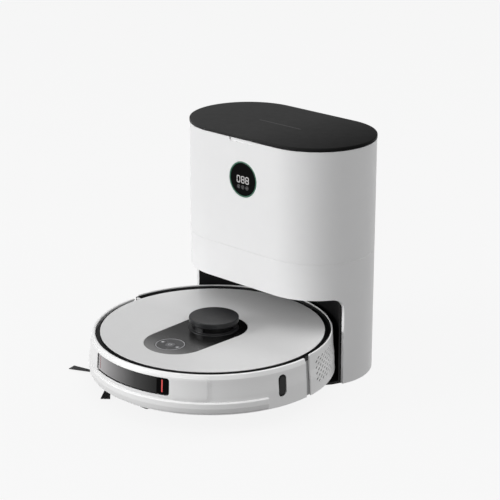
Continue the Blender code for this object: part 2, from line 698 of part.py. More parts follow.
def dust_path(smoke, paper, black, grey, flap_grey, robot):
    """The dust box, its filter, the blower behind the filter and the emptying flap."""
    box = piece("dust_box", block((-0.0380, 0.0600, 0.0200), (0.0800, 0.1280, 0.0700)), smoke,
                parent=robot)
    joined(box, moved(drum(0.0110, 0.1260, 0.1690, 24, "Y"), z=PORT_Z))
    cut(box, block((-0.0360, 0.0620, 0.0220), (0.0780, 0.1260, 0.0680)),
        block((-0.0100, 0.05, 0.0250), (0.0600, 0.07, 0.0420)),
        moved(drum(0.0092, 0.11, 0.18, 24, "Y"), z=PORT_Z),
        block((-0.05, 0.0800, 0.0300), (-0.03, 0.1200, 0.0620)))
    pleats = piece("dust_filter", block((-0.0460, 0.0760, 0.0260), (-0.0385, 0.1240, 0.0660)),
                   paper, parent=robot)
    grooves = (0.0795 + 0.0052 * row for row in range(9))
    cut(pleats, blocks(((-0.05, y - 0.0010, 0.0280), (-0.0430, y + 0.0010, 0.0640)) for y in grooves))
    at = (BLOWER_X, BLOWER_Y, 0)
    case = [(0, 0.0320), (0.0300, 0.0320), (0.0300, 0.0700), (0.0120, 0.0700), (0.0120, 0.0680),
            (0.0280, 0.0680), (0.0280, 0.0340), (0, 0.0340)]
    piece("blower_housing", turned(case, 32), black, at=at, parent=robot)
    vanes = prism(rotor(0.0080, 0.0240, 9, 8, 2.5, 22), 0.0440, 0.0580)
    fan = piece("blower_impeller", vanes, grey, at=at, parent=robot)
    joined(fan, drum(0.0240, 0.0420, 0.0450, 32))
    flap = moved(drum(0.0106, -0.0006, 0.0006, 24, "Y"), z=-0.0103)
    piece("outlet_flap", flap, flap_grey, at=(0, 0.1708, PORT_Z + 0.0103), parent=robot)


def electronics(blue, green, robot):
    pack = piece("battery_pack", block((-0.060, -0.0920, 0.0165), (0.060, -0.0330, 0.0520)), blue,
                 parent=robot)
    bevelled(pack, 0.003)
    board = block((-0.070, -0.1100, 0.0580), (0.070, -0.0330, 0.0596))
    piece("main_board", board, green, parent=robot)


def build():
    clear_scene()
    white = paint("white_shell", (0.82, 0.82, 0.83), 0.35)
    black = paint("black_plastic", (0.012, 0.012, 0.013), 0.40)
    dark = paint("dark_plastic", (0.030, 0.030, 0.032), 0.50)
    grey = paint("grey_plastic", (0.20, 0.20, 0.21), 0.45)
    silver = paint("silver_lid", (0.60, 0.60, 0.62), 0.32, 0.15)
    inlay_grey = paint("inlay", (0.13, 0.13, 0.14), 0.40)
    pale = paint("key_tops", (0.45, 0.45, 0.46), 0.40)
    rubber = paint("rubber", (0.020, 0.020, 0.020), 0.80)
    glass = paint("dark_glass", (0.006, 0.006, 0.007), 0.06)
    glow = paint("green_ring", (0.03, 0.22, 0.10), 0.30)
    steel = paint("steel", (0.55, 0.55, 0.56), 0.30, 1.0)
    brass = paint("contact_metal", (0.70, 0.58, 0.35), 0.30, 1.0)
    paper = paint("filter_paper", (0.72, 0.71, 0.67), 0.90)
    card = paint("bag_card", (0.34, 0.45, 0.38), 0.80)
    smoke = paint("smoky_box", (0.08, 0.08, 0.09), 0.20)
    green = paint("board_green", (0.02, 0.17, 0.07), 0.50)
    blue = paint("battery_wrap", (0.05, 0.10, 0.28), 0.45)

    dock_casings(white)
    dock_lid(black)
    lid_hinge_pin(steel)
    bay_liner(black)
    floor_plate(black, rubber)
    bag_compartment(grey)
    dust_bag(paper, card)
    air_duct(black)
    port_seal(rubber)
    suction_unit(black, steel, grey)
    dock_display(glass, glow)
    dock_rear_fittings(grey, black, green)
    dock_contact("left", -CONTACT_X, brass)
    dock_contact("right", CONTACT_X, brass)

    robot = empty("robot", (0, ROBOT_Y, 0))
    chassis(dark, robot)
    bumper(white, glass, robot)
    rear_shell(white, robot)
    robot_contact("left", 10, brass, robot)
    robot_contact("right", -10, brass, robot)
    robot_top(dark, silver, inlay_grey, robot)
    controls(dark, pale, robot)
    turret(dark, robot)
    drive_wheel("left", -1, rubber, grey, dark, robot)
    drive_wheel("right", 1, rubber, grey, dark, robot)
    caster(dark, rubber, robot)
    main_brush(rubber, robot)
    brush_parts(dark, steel, robot)
    side_brush(dark, robot)
    dust_path(smoke, paper, black, grey, grey, robot)
    electronics(blue, green, robot)


build()
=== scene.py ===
"""The looks of a round robot vacuum parked in its self-emptying dock.

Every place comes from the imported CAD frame. Lengths are in metres and angles in degrees. Robot
pieces are made about the robot's own axis, with angle 0 on +X and the bumper towards -Y.
"""

import json
import random
from math import asin, atan2, cos, degrees, pi, radians, sin, sqrt, tan

import bmesh
import bpy
from mathutils import Matrix, Vector, noise

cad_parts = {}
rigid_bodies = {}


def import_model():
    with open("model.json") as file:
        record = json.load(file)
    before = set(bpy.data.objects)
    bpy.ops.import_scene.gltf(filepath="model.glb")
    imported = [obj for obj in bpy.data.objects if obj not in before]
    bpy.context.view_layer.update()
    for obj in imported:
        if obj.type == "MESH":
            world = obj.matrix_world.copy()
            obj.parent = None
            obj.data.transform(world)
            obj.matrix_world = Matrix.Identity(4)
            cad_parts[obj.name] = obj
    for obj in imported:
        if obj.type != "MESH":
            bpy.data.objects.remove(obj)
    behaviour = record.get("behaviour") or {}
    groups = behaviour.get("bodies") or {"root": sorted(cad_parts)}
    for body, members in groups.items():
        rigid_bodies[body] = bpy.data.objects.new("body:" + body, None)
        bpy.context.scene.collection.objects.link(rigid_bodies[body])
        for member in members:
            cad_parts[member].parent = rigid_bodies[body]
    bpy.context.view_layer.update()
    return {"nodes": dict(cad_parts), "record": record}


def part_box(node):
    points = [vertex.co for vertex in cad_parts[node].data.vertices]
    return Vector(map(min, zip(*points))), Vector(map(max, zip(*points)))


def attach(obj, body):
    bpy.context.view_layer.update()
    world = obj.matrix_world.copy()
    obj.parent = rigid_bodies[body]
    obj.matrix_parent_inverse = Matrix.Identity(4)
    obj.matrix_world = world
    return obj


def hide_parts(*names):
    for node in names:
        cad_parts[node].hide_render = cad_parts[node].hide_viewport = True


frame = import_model()

# Sizes read from the frame
LOWER_LOW, LOWER_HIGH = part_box("dock_lower_casing")
DISC_LOW, DISC_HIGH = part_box("robot_lid")
CAP_LOW, CAP_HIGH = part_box("turret_cap")
DISPLAY_LOW, DISPLAY_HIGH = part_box("display_ring")
GRILLE_LOW, GRILLE_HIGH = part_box("exhaust_grille")
AXIS = Vector((0.0, (DISC_LOW.y + DISC_HIGH.y) / 2, 0.0))
DOCK_RADIUS = LOWER_HIGH.y
DOCK_HALF = LOWER_HIGH.x
SEAM_Z = (LOWER_HIGH.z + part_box("dock_upper_casing")[0].z) / 2
LID_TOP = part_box("dock_lid")[1].z
DISC_RADIUS = (DISC_HIGH.x - DISC_LOW.x) / 2
DISC_Z = DISC_HIGH.z
TURRET_Y = (CAP_LOW.y + CAP_HIGH.y) / 2 - AXIS.y
KEYS_Y = sum(corner.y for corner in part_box("key_panel")) / 2 - AXIS.y
DISPLAY_X = (DISPLAY_LOW.x + DISPLAY_HIGH.x) / 2
DISPLAY_Z = (DISPLAY_LOW.z + DISPLAY_HIGH.z) / 2
DISPLAY_RADIUS = (DISPLAY_HIGH.x - DISPLAY_LOW.x) / 2
GLASS_Y = DISPLAY_LOW.y + 0.0001
SLOT_OF = {part["node"]: part["material_slot"] for part in frame["record"]["subparts"]}

# Dock
WALL = 0.0042
SEAM = 0.00007  # half of the visible gap
DOCK_TOP = 0.3443
LINER_RISE = 0.0042  # the bay liner's top over the bay's ceiling
BAY_EDGE, BAY_CORNER = -0.0280, 0.0175
NOTCH_HALF, NOTCH_FLOOR_Z, NOTCH_BACK_Y = 0.0220, 0.3393, -0.0832
HINGE_Y, HINGE_Z, KNUCKLE = 0.0898, 0.3440, 0.0038
GRILLE_ROWS, GRILLE_PITCH = 7, 0.0085
SEGMENTS = {"0": "abcdef", "8": "abcdefg"}
DIGIT_PITCH, ICON_PITCH, ICON_RADIUS, ICON_Z = 0.0082, 0.0080, 0.0028, -0.0112

# Robot
SIDE_WALL = ((0.0246, 0.1735), (0.0500, 0.1728), (0.0650, 0.1715), (0.0740, 0.1710), (0.0800, 0.1687))
REAR_WALL = ((0.0290, 0.1729), (0.0460, 0.1723), (0.0590, 0.1706), (0.0770, 0.1698))
BUMPER_START, BUMPER_SWEEP = 178.3, 183.4
RIDGE_START, RIDGE_SWEEP = 200.4, 139.2
WINDOW_START, WINDOW_END = -112.3, -65.4
WINDOW_LOW, WINDOW_HIGH = 0.0485, 0.0730
LAMP_LOW, LAMP_HIGH = 0.0522, 0.0696
OVAL_LOW, OVAL_HIGH, OVAL_TURN = 0.0442, 0.0634, -12.8
PANEL_STEPS = (("bumper_panel_rim", -130.8, -46.9, 0.0442, 0.0774, 0.0070, 0.0006),
               ("bumper_panel", -129.6, -48.1, 0.0460, 0.0757, 0.0054, 0.0012))
SHELL_START, JOINT_START, JOINT_END, RING_START = 5.0, 2.2, 5.2, 3.0
BRIDGE_SWEEP = 1.2
VENT_START, VENT_END, VENT_STEP = 10.6, 58.0, 1.95
VENT_LOW, VENT_HIGH, VENT_PITCH = 0.0380, 0.0725, 0.0083
VENT_LEAN, VENT_HALF, VENT_RADIUS = 28, 0.0016, 0.00105
DISC_INNER = 0.1400  # where the lid's thin disc meets its skirt
BELT_END_Y, BELT_RADIUS, BELT_END_RADIUS = -0.0720, 0.0475, 0.0450
KEY_X, KEY_RADIUS, POWER_RADIUS = 0.0142, 0.0036, 0.0070
TREAD_LUGS, TREAD_DEPTH, TREAD_FLOOR = 24, 0.0016, 0.0280
ROLLER_CORE, ROLLER_TWIST, ROLLER_TUFTS = 0.0105, 60, 76
SIDE_BRUSH_PLACE = Vector((-0.108, -0.097, 0.0))
SIDE_BRUSH_REACH, SIDE_BRUSH_TURN, SIDE_BRUSH_ROW = 0.0734, -49.4, 28
BAG_CELL = 0.0050
BAG_SWELL = 0.0045
BAG_STEPS = 20

# Camera and lights
VIEW_AZIMUTH, VIEW_ELEVATION = 43.079, 19.144
VIEW_AIM = Vector((-0.0527, -0.0099, 0.1504))
VIEW_DISTANCE = 2.5
VIEW_LENS = 122.05
OVERHEAD = 1.08
LAMPS = (((-0.55, -0.80, 0.25), 47.0), ((0.80, -0.50, 0.35), 13.0), ((0.30, 0.80, 0.60), 10.0))
LAMP_AIM = Vector((0, -0.05, 0.1))
LAMP_DISTANCE, LAMP_SIZE = 2.6, 1.5
FLOOR_GLOW = 0.880
FLOOR_HALF = 20.0


# Outlines

def arc(centre, radius, start, end, steps):
    points = []
    for step in range(steps + 1):
        angle = radians(start + (end - start) * step / steps)
        points.append((centre[0] + radius * cos(angle), centre[1] + radius * sin(angle)))
    return points


def rounded(corners, steps=4):
    """A closed outline through (u, v, radius) corners, each rounded by an arc."""
    outline = []
    for i, (u, v, radius) in enumerate(corners):
        if radius <= 0:
            outline.append((u, v))
            continue
        corner = Vector((u, v))
        before = Vector(corners[i - 1][:2]) - corner
        after = Vector(corners[(i + 1) % len(corners)][:2]) - corner
        half = before.angle(after) / 2
        reach = min(radius / tan(half), 0.49 * before.length, 0.49 * after.length)
        radius = reach * tan(half)
        inward = (before.normalized() + after.normalized()).normalized()
        centre = corner + inward * (radius / sin(half))
        first = corner + before.normalized() * reach - centre
        last = corner + after.normalized() * reach - centre
        for step in range(steps + 1):
            outline.append(tuple(centre + first.lerp(last, step / steps).normalized() * radius))
    return outline


def box_outline(low, high, radius, steps=4):
    return rounded([(low[0], low[1], radius), (high[0], low[1], radius),
                    (high[0], high[1], radius), (low[0], high[1], radius)], steps)


def slot_outline(first, second, radius, steps=8):
    """The outline of a slot with round ends."""
    turn = degrees(atan2(second[1] - first[1], second[0] - first[0]))
    points = arc(second, radius, turn - 90, turn + 90, steps)
    return points + arc(first, radius, turn + 90, turn + 270, steps)


def belt_outline(first, second, first_radius, second_radius, steps=40):
    """The outline of a belt round two circles, the second one further along -Y."""
    span = first[1] - second[1]
    lean = degrees(asin((first_radius - second_radius) / span))
    points = arc(first, first_radius, -lean, 180 + lean, steps)
    return points + arc(second, second_radius, 180 + lean, 360 - lean, steps)


def stadium(inset, steps):
    """The dock's plan: two half circles joined by straight sides."""
    radius = DOCK_RADIUS - inset
    centre = DOCK_HALF - DOCK_RADIUS
    points = arc((centre, 0), radius, -90, 90, steps)
    return points + arc((-centre, 0), radius, 90, 270, steps)


# Solids

PLACES = {
    "X": lambda u, v, along: (along, u, v),
    "Y": lambda u, v, along: (u, along, v),
    "Z": lambda u, v, along: (u, v, along),
}


def loft(rings, closed=False):
    """Joins rings of the same number of points, with caps unless the last ring meets the first."""
    shape = bmesh.new()
    rings = [[shape.verts.new(point) for point in ring] for ring in rings]
    for first, second in zip(rings, rings[1:] + (rings[:1] if closed else [])):
        for i in range(len(first)):
            j = (i + 1) % len(first)
            shape.faces.new((first[i], first[j], second[j], second[i]))
    if not closed:
        shape.faces.new(rings[0])
        shape.faces.new(rings[-1])
    return shape


def prism(outline, low, high, axis="Z"):
    place = PLACES[axis]
    return loft([[place(u, v, along) for u, v in outline] for along in (low, high)])


def block(low, high):
    outline = [(low[0], low[1]), (high[0], low[1]), (high[0], high[1]), (low[0], high[1])]
    return prism(outline, low[2], high[2])


def lathe(profile, steps=96, start=0.0, sweep=360.0, axis="Z"):
    """A closed profile of (radius, height) points, turned about an axis."""
    shape = bmesh.new()
    place = PLACES[axis]
    whole = sweep >= 360
    poles = {}
    columns = []
    for step in range(steps + (0 if whole else 1)):
        angle = radians(start + sweep * step / steps)
        column = []
        for i, (radius, height) in enumerate(profile):
            if radius > 0:
                u, v = radius * cos(angle), radius * sin(angle)
                column.append(shape.verts.new(place(u, v, height)))
                continue
            if i not in poles:
                poles[i] = shape.verts.new(place(0, 0, height))
            column.append(poles[i])
        columns.append(column)
    for left, right in zip(columns, columns[1:] + (columns[:1] if whole else [])):
        for i in range(len(profile)):
            j = (i + 1) % len(profile)
            corners = list(dict.fromkeys((left[i], left[j], right[j], right[i])))
            if len(corners) > 2:
                shape.faces.new(corners)
    if not whole:
        shape.faces.new(columns[0])
        shape.faces.new(columns[-1])
    return shape


def drum(radius, low, high, steps=48, axis="Z", edge=0.0):
    profile = rounded([(0, low, 0), (radius, low, edge), (radius, high, edge), (0, high, 0)], 3)
    return lathe(profile, steps, axis=axis)


def tube(inner, outer, low, high, steps, start=0.0, sweep=360.0, axis="Z"):
    profile = [(inner, low), (outer, low), (outer, high), (inner, high)]
    return lathe(profile, steps, start, sweep, axis)


def round_dock(profile):
    """A closed profile of (inset, height) points, taken round the dock's plan."""
    return loft([[(x, y, z) for x, y in stadium(inset, 48)] for inset, z in profile], closed=True)


def dock_plate(profile, steps):
    """A solid plate with the dock's plan; its edge follows (inset, height) points."""
    return loft([[(x, y, z) for x, y in stadium(inset, steps)] for inset, z in profile])


def patch(start, end, low, high, corner, inner, outer, steps=48, rows=10):
    """A curved pad with rounded corners, between two radii that may depend on the height."""
    inner_at = inner if callable(inner) else lambda z: inner
    outer_at = outer if callable(outer) else lambda z: outer
    corner_turn = degrees(corner / outer_at((low + high) / 2))
    turns = [start + corner_turn * (1 - cos(radians(90 * i / 6))) for i in range(6)]
    middle = max(2, steps - 12)
    span = end - start - 2 * corner_turn
    turns += [start + corner_turn + span * i / middle for i in range(middle + 1)]
    turns += [start + end - turn for turn in reversed(turns[:6])]
    rings = []
    for turn in turns:
        edge = min(turn - start, end - turn)
        cut_back = 0.0
        if edge < corner_turn:
            across = 1 - edge / corner_turn
            cut_back = corner * (1 - sqrt(max(0.0, 1 - across * across)))
        heights = [low + cut_back + (high - low - 2 * cut_back) * row / rows for row in range(rows + 1)]
        c, s = cos(radians(turn)), sin(radians(turn))
        ring = [(outer_at(z) * c, outer_at(z) * s, z) for z in heights]
        ring += [(inner_at(z) * c, inner_at(z) * s, z) for z in reversed(heights)]
        rings.append(ring)
    return loft(rings)


def moved(shape, x=0.0, y=0.0, z=0.0):
    bmesh.ops.translate(shape, vec=(x, y, z), verts=shape.verts)
    return shape


def spun(shape, turn, axis="Z"):
    matrix = Matrix.Rotation(radians(turn), 3, axis)
    bmesh.ops.rotate(shape, cent=(0, 0, 0), matrix=matrix, verts=shape.verts)
    return shape


def together(*shapes):
    """Several shapes in one bmesh; they stay separate bodies."""
    whole = bmesh.new()
    for shape in shapes:
        mesh = bpy.data.meshes.new("part")
        bmesh.ops.recalc_face_normals(shape, faces=shape.faces)
        shape.to_mesh(mesh)
        shape.free()
        whole.from_mesh(mesh)
        bpy.data.meshes.remove(mesh)
    return whole


# Objects

def linked(name, data):
    thing = bpy.data.objects.new(name, data)
    bpy.context.scene.collection.objects.link(thing)
    return thing


def mesh_object(name, shape):
    bmesh.ops.recalc_face_normals(shape, faces=shape.faces)
    mesh = bpy.data.meshes.new(name)
    shape.to_mesh(mesh)
    shape.free()
    return linked(name, mesh)


def worked(shape, cuts=(), joins=(), bevel=0.0, segments=2, angle=35):
    """The shape with tools cut from it or joined to it, and its sharp edges rounded."""
    base = mesh_object("work", shape)
    tools = []
    for operation, shapes in (("UNION", joins), ("DIFFERENCE", cuts)):
        for tool_shape in shapes:
            tool = mesh_object("tool", tool_shape)
            boolean = base.modifiers.new("boolean", "BOOLEAN")
            boolean.object = tool
            boolean.operation = operation
            boolean.solver = "EXACT"
            tools.append(tool)
    if bevel:
        weld = base.modifiers.new("weld", "WELD")
        weld.merge_threshold = 0.00002
        rounding = base.modifiers.new("rounding", "BEVEL")
        rounding.width = bevel
        rounding.segments = segments
        rounding.limit_method = "ANGLE"
        rounding.angle_limit = radians(angle)
        rounding.miter_outer = "MITER_ARC"
    graph = bpy.context.evaluated_depsgraph_get()
    mesh = bpy.data.meshes.new_from_object(base.evaluated_get(graph))
    result = bmesh.new()
    result.from_mesh(mesh)
    bpy.data.meshes.remove(mesh)
    for thing in [base] + tools:
        old = thing.data
        bpy.data.objects.remove(thing)
        bpy.data.meshes.remove(old)
    return result


def apply_modifiers(thing):
    graph = bpy.context.evaluated_depsgraph_get()
    mesh = bpy.data.meshes.new_from_object(thing.evaluated_get(graph))
    old = thing.data
    thing.modifiers.clear()
    thing.data = mesh
    bpy.data.meshes.remove(old)
    mesh.name = thing.name


def piece(name, shape, finish, body, stands_for=None, at=(0, 0, 0), sharp=32):
    """A visible piece that rides on a CAD body and may stand for a CAD node."""
    thing = mesh_object(name, shape)
    thing.data.materials.append(FINISHES[finish])
    thing.data.shade_smooth()
    thing.data.set_sharp_from_angle(angle=radians(sharp))
    # Normals weighted by face area keep flat faces beside curved ones flat
    weighted = thing.modifiers.new("normals", "WEIGHTED_NORMAL")
    weighted.keep_sharp = True
    apply_modifiers(thing)
    thing.location = at
    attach(thing, body)
    if stands_for:
        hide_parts(stands_for)


def softened(node):
    """A CAD node's own shape, with its edges rounded."""
    source = frame["nodes"][node]
    shape = bmesh.new()
    shape.from_mesh(source.data)
    bmesh.ops.remove_doubles(shape, verts=shape.verts, dist=0.00001)
    bmesh.ops.dissolve_limit(shape, angle_limit=radians(0.5), verts=shape.verts,
                             edges=shape.edges)
    body = source.parent.name.split(":")[1]
    slot = SLOT_OF[node]
    piece(f"{node}_moulding", worked(shape, bevel=0.0004), slot, body, node)


# Finishes

FINISHES = {}


class Nodes:
    """A material, with short ways to add and fill its shader nodes."""

    def __init__(self, name):
        material = FINISHES[name] = bpy.data.materials.new(name)
        material.use_nodes = True
        self.tree = material.node_tree
        self.shader = self.tree.nodes["Principled BSDF"]
        self.place = self.add("TexCoord", {}).outputs["Object"]

    def fill(self, node, values):
        """Sets a node's inputs, or links other nodes' outputs to them."""
        for name, value in values.items():
            socket = node.inputs[name]
            if isinstance(value, bpy.types.NodeSocket):
                self.tree.links.new(value, socket)
            elif socket.type == "RGBA":
                socket.default_value = (*value, 1.0)
            else:
                socket.default_value = value

    def add(self, kind, values, **settings):
        node = self.tree.nodes.new("ShaderNode" + kind)
        for key, value in settings.items():
            setattr(node, key, value)
        self.fill(node, values)
        return node

    def noise(self, scale, detail=3.0, roughness=0.5, stretch=None):
        place = self.place
        if stretch:
            place = self.add("Mapping", {"Vector": place, "Scale": stretch}).outputs["Vector"]
        values = {"Vector": place, "Scale": scale, "Detail": detail, "Roughness": roughness}
        return self.add("TexNoise", values).outputs["Fac"]

    def remap(self, source, low, high, start=0.3, end=0.7):
        values = {"Value": source, "From Min": start, "From Max": end, "To Min": low, "To Max": high}
        return self.add("MapRange", values).outputs["Result"]

    def mix(self, share, first, second):
        values = {"Factor": share, 6: first, 7: second}  # 6 and 7 are the colour inputs
        return self.add("Mix", values, data_type="RGBA").outputs[2]

    def bump(self, height, strength, distance):
        values = {"Height": height, "Strength": strength, "Distance": distance}
        return self.add("Bump", values).outputs["Normal"]

    def fade(self, axis, stops):
        """A colour that changes along an axis of the object, painted in to stand for light, shade and
        reflections; stops are (place, colour).
        """
        split = self.add("SeparateXYZ", {"Vector": self.place})
        low, high = stops[0][0], stops[-1][0]
        share = self.remap(split.outputs[axis], 0.0, 1.0, low, high)
        ramp = self.add("ValToRGB", {"Fac": share})
        elements = ramp.color_ramp.elements
        while len(elements) < len(stops):
            elements.new(0.5)
        for element, (place, colour) in zip(elements, stops):
            element.position = (place - low) / (high - low)
            element.color = (*colour, 1.0)
        return ramp.outputs["Color"]


def shade(colour, factor):
    return tuple(min(1.0, part * factor) for part in colour)


def grey(level, warm=0.0):
    return (level * (1 + warm), level, level * (1 + warm / 2))


def moulded(name, colour, roughness, grain=2600.0, depth=0.00002, spread=0.03, wear=0.25,
            specular=0.5, fade=None):
    """Moulded or painted material: slight mottling, fine grain, uneven gloss, worn edges; a gradient given
    along an axis becomes painted light, shade and reflection.
    """
    nodes = Nodes(name)
    tone = nodes.remap(nodes.noise(35.0, 4.0, 0.6), 0.0, 1.0)
    base = nodes.mix(tone, shade(colour, 1 - spread), shade(colour, 1 + spread))
    # painted light: the gradient takes over the colour, standing for light, shade and reflections on the
    # surface
    if fade:
        base = nodes.mix(nodes.remap(tone, 0.0, 0.1, 0.0, 1.0), nodes.fade(*fade), base)
    pointed = nodes.add("NewGeometry", {}).outputs["Pointiness"]
    edge = nodes.remap(pointed, 0.0, wear, 0.54, 0.66)
    lighter = tuple(part + 0.10 * (1 - part) for part in colour)
    gloss = nodes.remap(nodes.noise(80.5, 3.0), roughness * 0.9, roughness * 1.12)
    nodes.fill(nodes.shader, {
        "Base Color": nodes.mix(edge, base, lighter), "Roughness": gloss,
        "Normal": nodes.bump(nodes.noise(grain, 2.0), 0.25, depth),
        "IOR": 1.5, "Specular IOR Level": specular})


def brushed(name, colour, roughness, stretch):
    """Metal with fine parallel scratches; stretch gives the scratches' direction."""
    nodes = Nodes(name)
    lines = nodes.noise(900.0, 4.0, 0.6, stretch)
    nodes.fill(nodes.shader, {
        "Base Color": nodes.mix(lines, shade(colour, 0.85), shade(colour, 1.1)),
        "Roughness": nodes.remap(lines, roughness * 0.85, roughness * 1.15),
        "Normal": nodes.bump(lines, 0.3, 0.00002), "Metallic": 1.0})


def paper(name, colour, fibre, depth):
    """Pressed or non-woven fibre."""
    nodes = Nodes(name)
    threads = nodes.noise(fibre, 6.0, 0.7, (1.0, 1.0, 0.35))
    clumps = nodes.noise(fibre / 12, 3.0)
    base = nodes.mix(nodes.remap(threads, 0, 1), shade(colour, 0.86), shade(colour, 1.06))
    nodes.fill(nodes.shader, {
        "Base Color": nodes.mix(nodes.remap(clumps, 0, 0.4), base, shade(colour, 0.8)),
        "Roughness": nodes.remap(clumps, 0.8, 1.0),
        "Normal": nodes.bump(threads, 0.5, depth), "Sheen Weight": 0.2})


def lit(name, colour, strength, body_colour=(0.02, 0.02, 0.02)):
    """A glowing mark under glass, a little uneven as light guides are."""
    nodes = Nodes(name)
    uneven = nodes.remap(nodes.noise(220.0, 2.0), 0.0, 1.0)
    nodes.fill(nodes.shader, {
        "Emission Color": nodes.mix(uneven, shade(colour, 0.85), colour),
        "Base Color": nodes.mix(uneven, body_colour, shade(body_colour, 1.3)),
        "Emission Strength": strength, "Roughness": 0.35})


def circuit(name, colour):
    """A circuit board: green mask with lighter traces and pads."""
    nodes = Nodes(name)
    cells = nodes.add("TexBrick", {
        "Vector": nodes.place, "Scale": 90.0, "Mortar Size": 0.03, "Color1": colour,
        "Color2": shade(colour, 0.7), "Mortar": shade(colour, 2.2)})
    nodes.fill(nodes.shader, {
        "Base Color": cells.outputs["Color"], "Roughness": nodes.remap(nodes.noise(60.0), 0.3, 0.5),
        "Normal": nodes.bump(cells.outputs["Fac"], 0.4, 0.00005)})


# Gradients along an axis of each object, with painted light in them: painted reflections of the soft boxes
# on the dock lid, the lid inlay and the front window; painted light and shade on the robot's white shell
# and its silver lid disc
LID_PAINTED_REFLECTION = ((-0.150, grey(0.044)), (0.000, grey(0.038)), (0.075, grey(0.024)), (0.150, grey(0.009)))
ROBOT_PAINTED_LIGHT = ((-0.176, grey(0.72)), (-0.060, grey(0.78)), (0.050, grey(0.88)), (0.176, grey(0.91)))
DISC_PAINTED_LIGHT = ((-0.150, grey(0.62)), (0.000, grey(0.68)), (0.080, grey(0.86)), (0.158, grey(0.92)))
INLAY_PAINTED_REFLECTION = ((-0.117, grey(0.200)), (-0.080, grey(0.060)), (-0.040, grey(0.012)), (0.0, grey(0.003)))
WINDOW_PAINTED_REFLECTION = ((-0.066, grey(0.450, 0.03)), (-0.030, grey(0.270, 0.02)), (0.020, grey(0.060)),
               (0.056, grey(0.012)))


def make_finishes():
    moulded("white_shell", (0.83, 0.83, 0.833), 0.36, spread=0.008, wear=0.1, depth=0.000004)
    # painted light and shade: the robot's white shell is darker towards -X and lighter towards +X
    moulded("robot_white", (0.85, 0.85, 0.853), 0.36, spread=0.008, wear=0.1, depth=0.000004,
            fade=("X", ROBOT_PAINTED_LIGHT))
    # painted shade: the recessed white joint strips are coloured grey, as they look in shadow
    moulded("joint_white", (0.42, 0.42, 0.425), 0.40, spread=0.02)
    moulded("black_plastic", (0.006, 0.006, 0.0065), 0.50, spread=0.15, depth=0.00002, specular=0.2)
    # painted reflection: the black dock lid is lighter towards -X, as if it reflected the soft boxes
    moulded("black_lid", (0.014, 0.014, 0.015), 0.34, spread=0.08, depth=0.000004, wear=0.1,
            specular=0.015, fade=("X", LID_PAINTED_REFLECTION))
    moulded("dark_plastic", (0.018, 0.018, 0.020), 0.45, spread=0.12, depth=0.00002)
    moulded("grey_plastic", (0.18, 0.18, 0.19), 0.45, spread=0.05, depth=0.00002)
    # painted light and shade: the silver disc is darker at the front and lighter at the back, in the dock's
    # shade
    moulded("silver_lid", (0.62, 0.62, 0.625), 0.34, spread=0.010, grain=3000.0,
            depth=0.000002, wear=0.1, fade=("Y", DISC_PAINTED_LIGHT))
    # painted reflection: the black inlay is light grey at its front tip and fades to black towards the
    # turret
    moulded("inlay", (0.006, 0.006, 0.0065), 0.22, spread=0.15, depth=0.000002, wear=0.1,
            specular=0.3, fade=("Y", INLAY_PAINTED_REFLECTION))
    moulded("key_dish", (0.060, 0.060, 0.062), 0.23, spread=0.10, depth=0.000002, specular=0.3)
    moulded("turret_dark", (0.016, 0.016, 0.017), 0.34, spread=0.10, depth=0.000003, wear=0.05,
            specular=0.28)
    moulded("turret_black", (0.004, 0.004, 0.004), 0.35, spread=0.2, depth=0.000003, specular=0.2)
    moulded("key_tops", (0.10, 0.10, 0.105), 0.36, spread=0.05)
    moulded("key_rim", (0.30, 0.30, 0.31), 0.36)
    moulded("marks", (0.55, 0.55, 0.56), 0.40)
    moulded("faint_mark", (0.050, 0.050, 0.052), 0.5)
    moulded("rubber", (0.018, 0.018, 0.018), 0.75, spread=0.2, grain=900.0, depth=0.00006)
    moulded("tyre", (0.020, 0.020, 0.020), 0.70, spread=0.25, grain=1200.0, depth=0.00008)
    moulded("bristle", (0.006, 0.006, 0.0065), 0.60, spread=0.3, specular=0.2)
    moulded("dark_glass", (0.0012, 0.0012, 0.0013), 0.08, spread=0.2, depth=0.000001, wear=0.05,
            specular=0.04)
    # painted reflection: the dark window lens is lighter towards -X, as if it reflected the soft boxes
    moulded("window_tint", (0.020, 0.019, 0.019), 0.14, spread=0.1, depth=0.000001, wear=0.1,
            specular=0.15, fade=("X", WINDOW_PAINTED_REFLECTION))
    moulded("sensor_tint", (0.020, 0.020, 0.020), 0.14, spread=0.1, depth=0.000001, specular=0.2)
    moulded("window_frame", (0.004, 0.004, 0.004), 0.40, spread=0.2, specular=0.15)
    moulded("smoky_box", (0.06, 0.06, 0.065), 0.18, spread=0.08)
    moulded("battery_wrap", (0.05, 0.10, 0.28), 0.35, spread=0.08)
    brushed("steel", (0.50, 0.50, 0.51), 0.36, (1.0, 1.0, 0.03))
    brushed("contact_metal", (0.72, 0.58, 0.34), 0.22, (1.0, 0.03, 1.0))
    paper("filter_paper", (0.70, 0.69, 0.65), 700.0, 0.0002)
    paper("bag_card", (0.34, 0.45, 0.38), 500.0, 0.0001)
    lit("digits", (1.0, 0.98, 0.98), 0.62)
    lit("dim_icons", (0.55, 0.53, 0.56), 0.14)
    lit("green_ring", (0.10, 0.55, 0.32), 0.10, (0.012, 0.06, 0.035))
    lit("lamp_red", (1.0, 0.12, 0.11), 0.55, (0.20, 0.02, 0.02))
    lit("lamp_dim", (1.0, 0.45, 0.42), 0.10, (0.10, 0.05, 0.05))
    circuit("board_green", (0.02, 0.15, 0.06))


def finish_cad_nodes():
    """Gives every CAD node the procedural finish of its slot in the record."""
    for part in frame["record"]["subparts"]:
        node = frame["nodes"][part["node"]]
        node.data.materials.clear()
        node.data.materials.append(FINISHES[part["material_slot"]])


# The dock

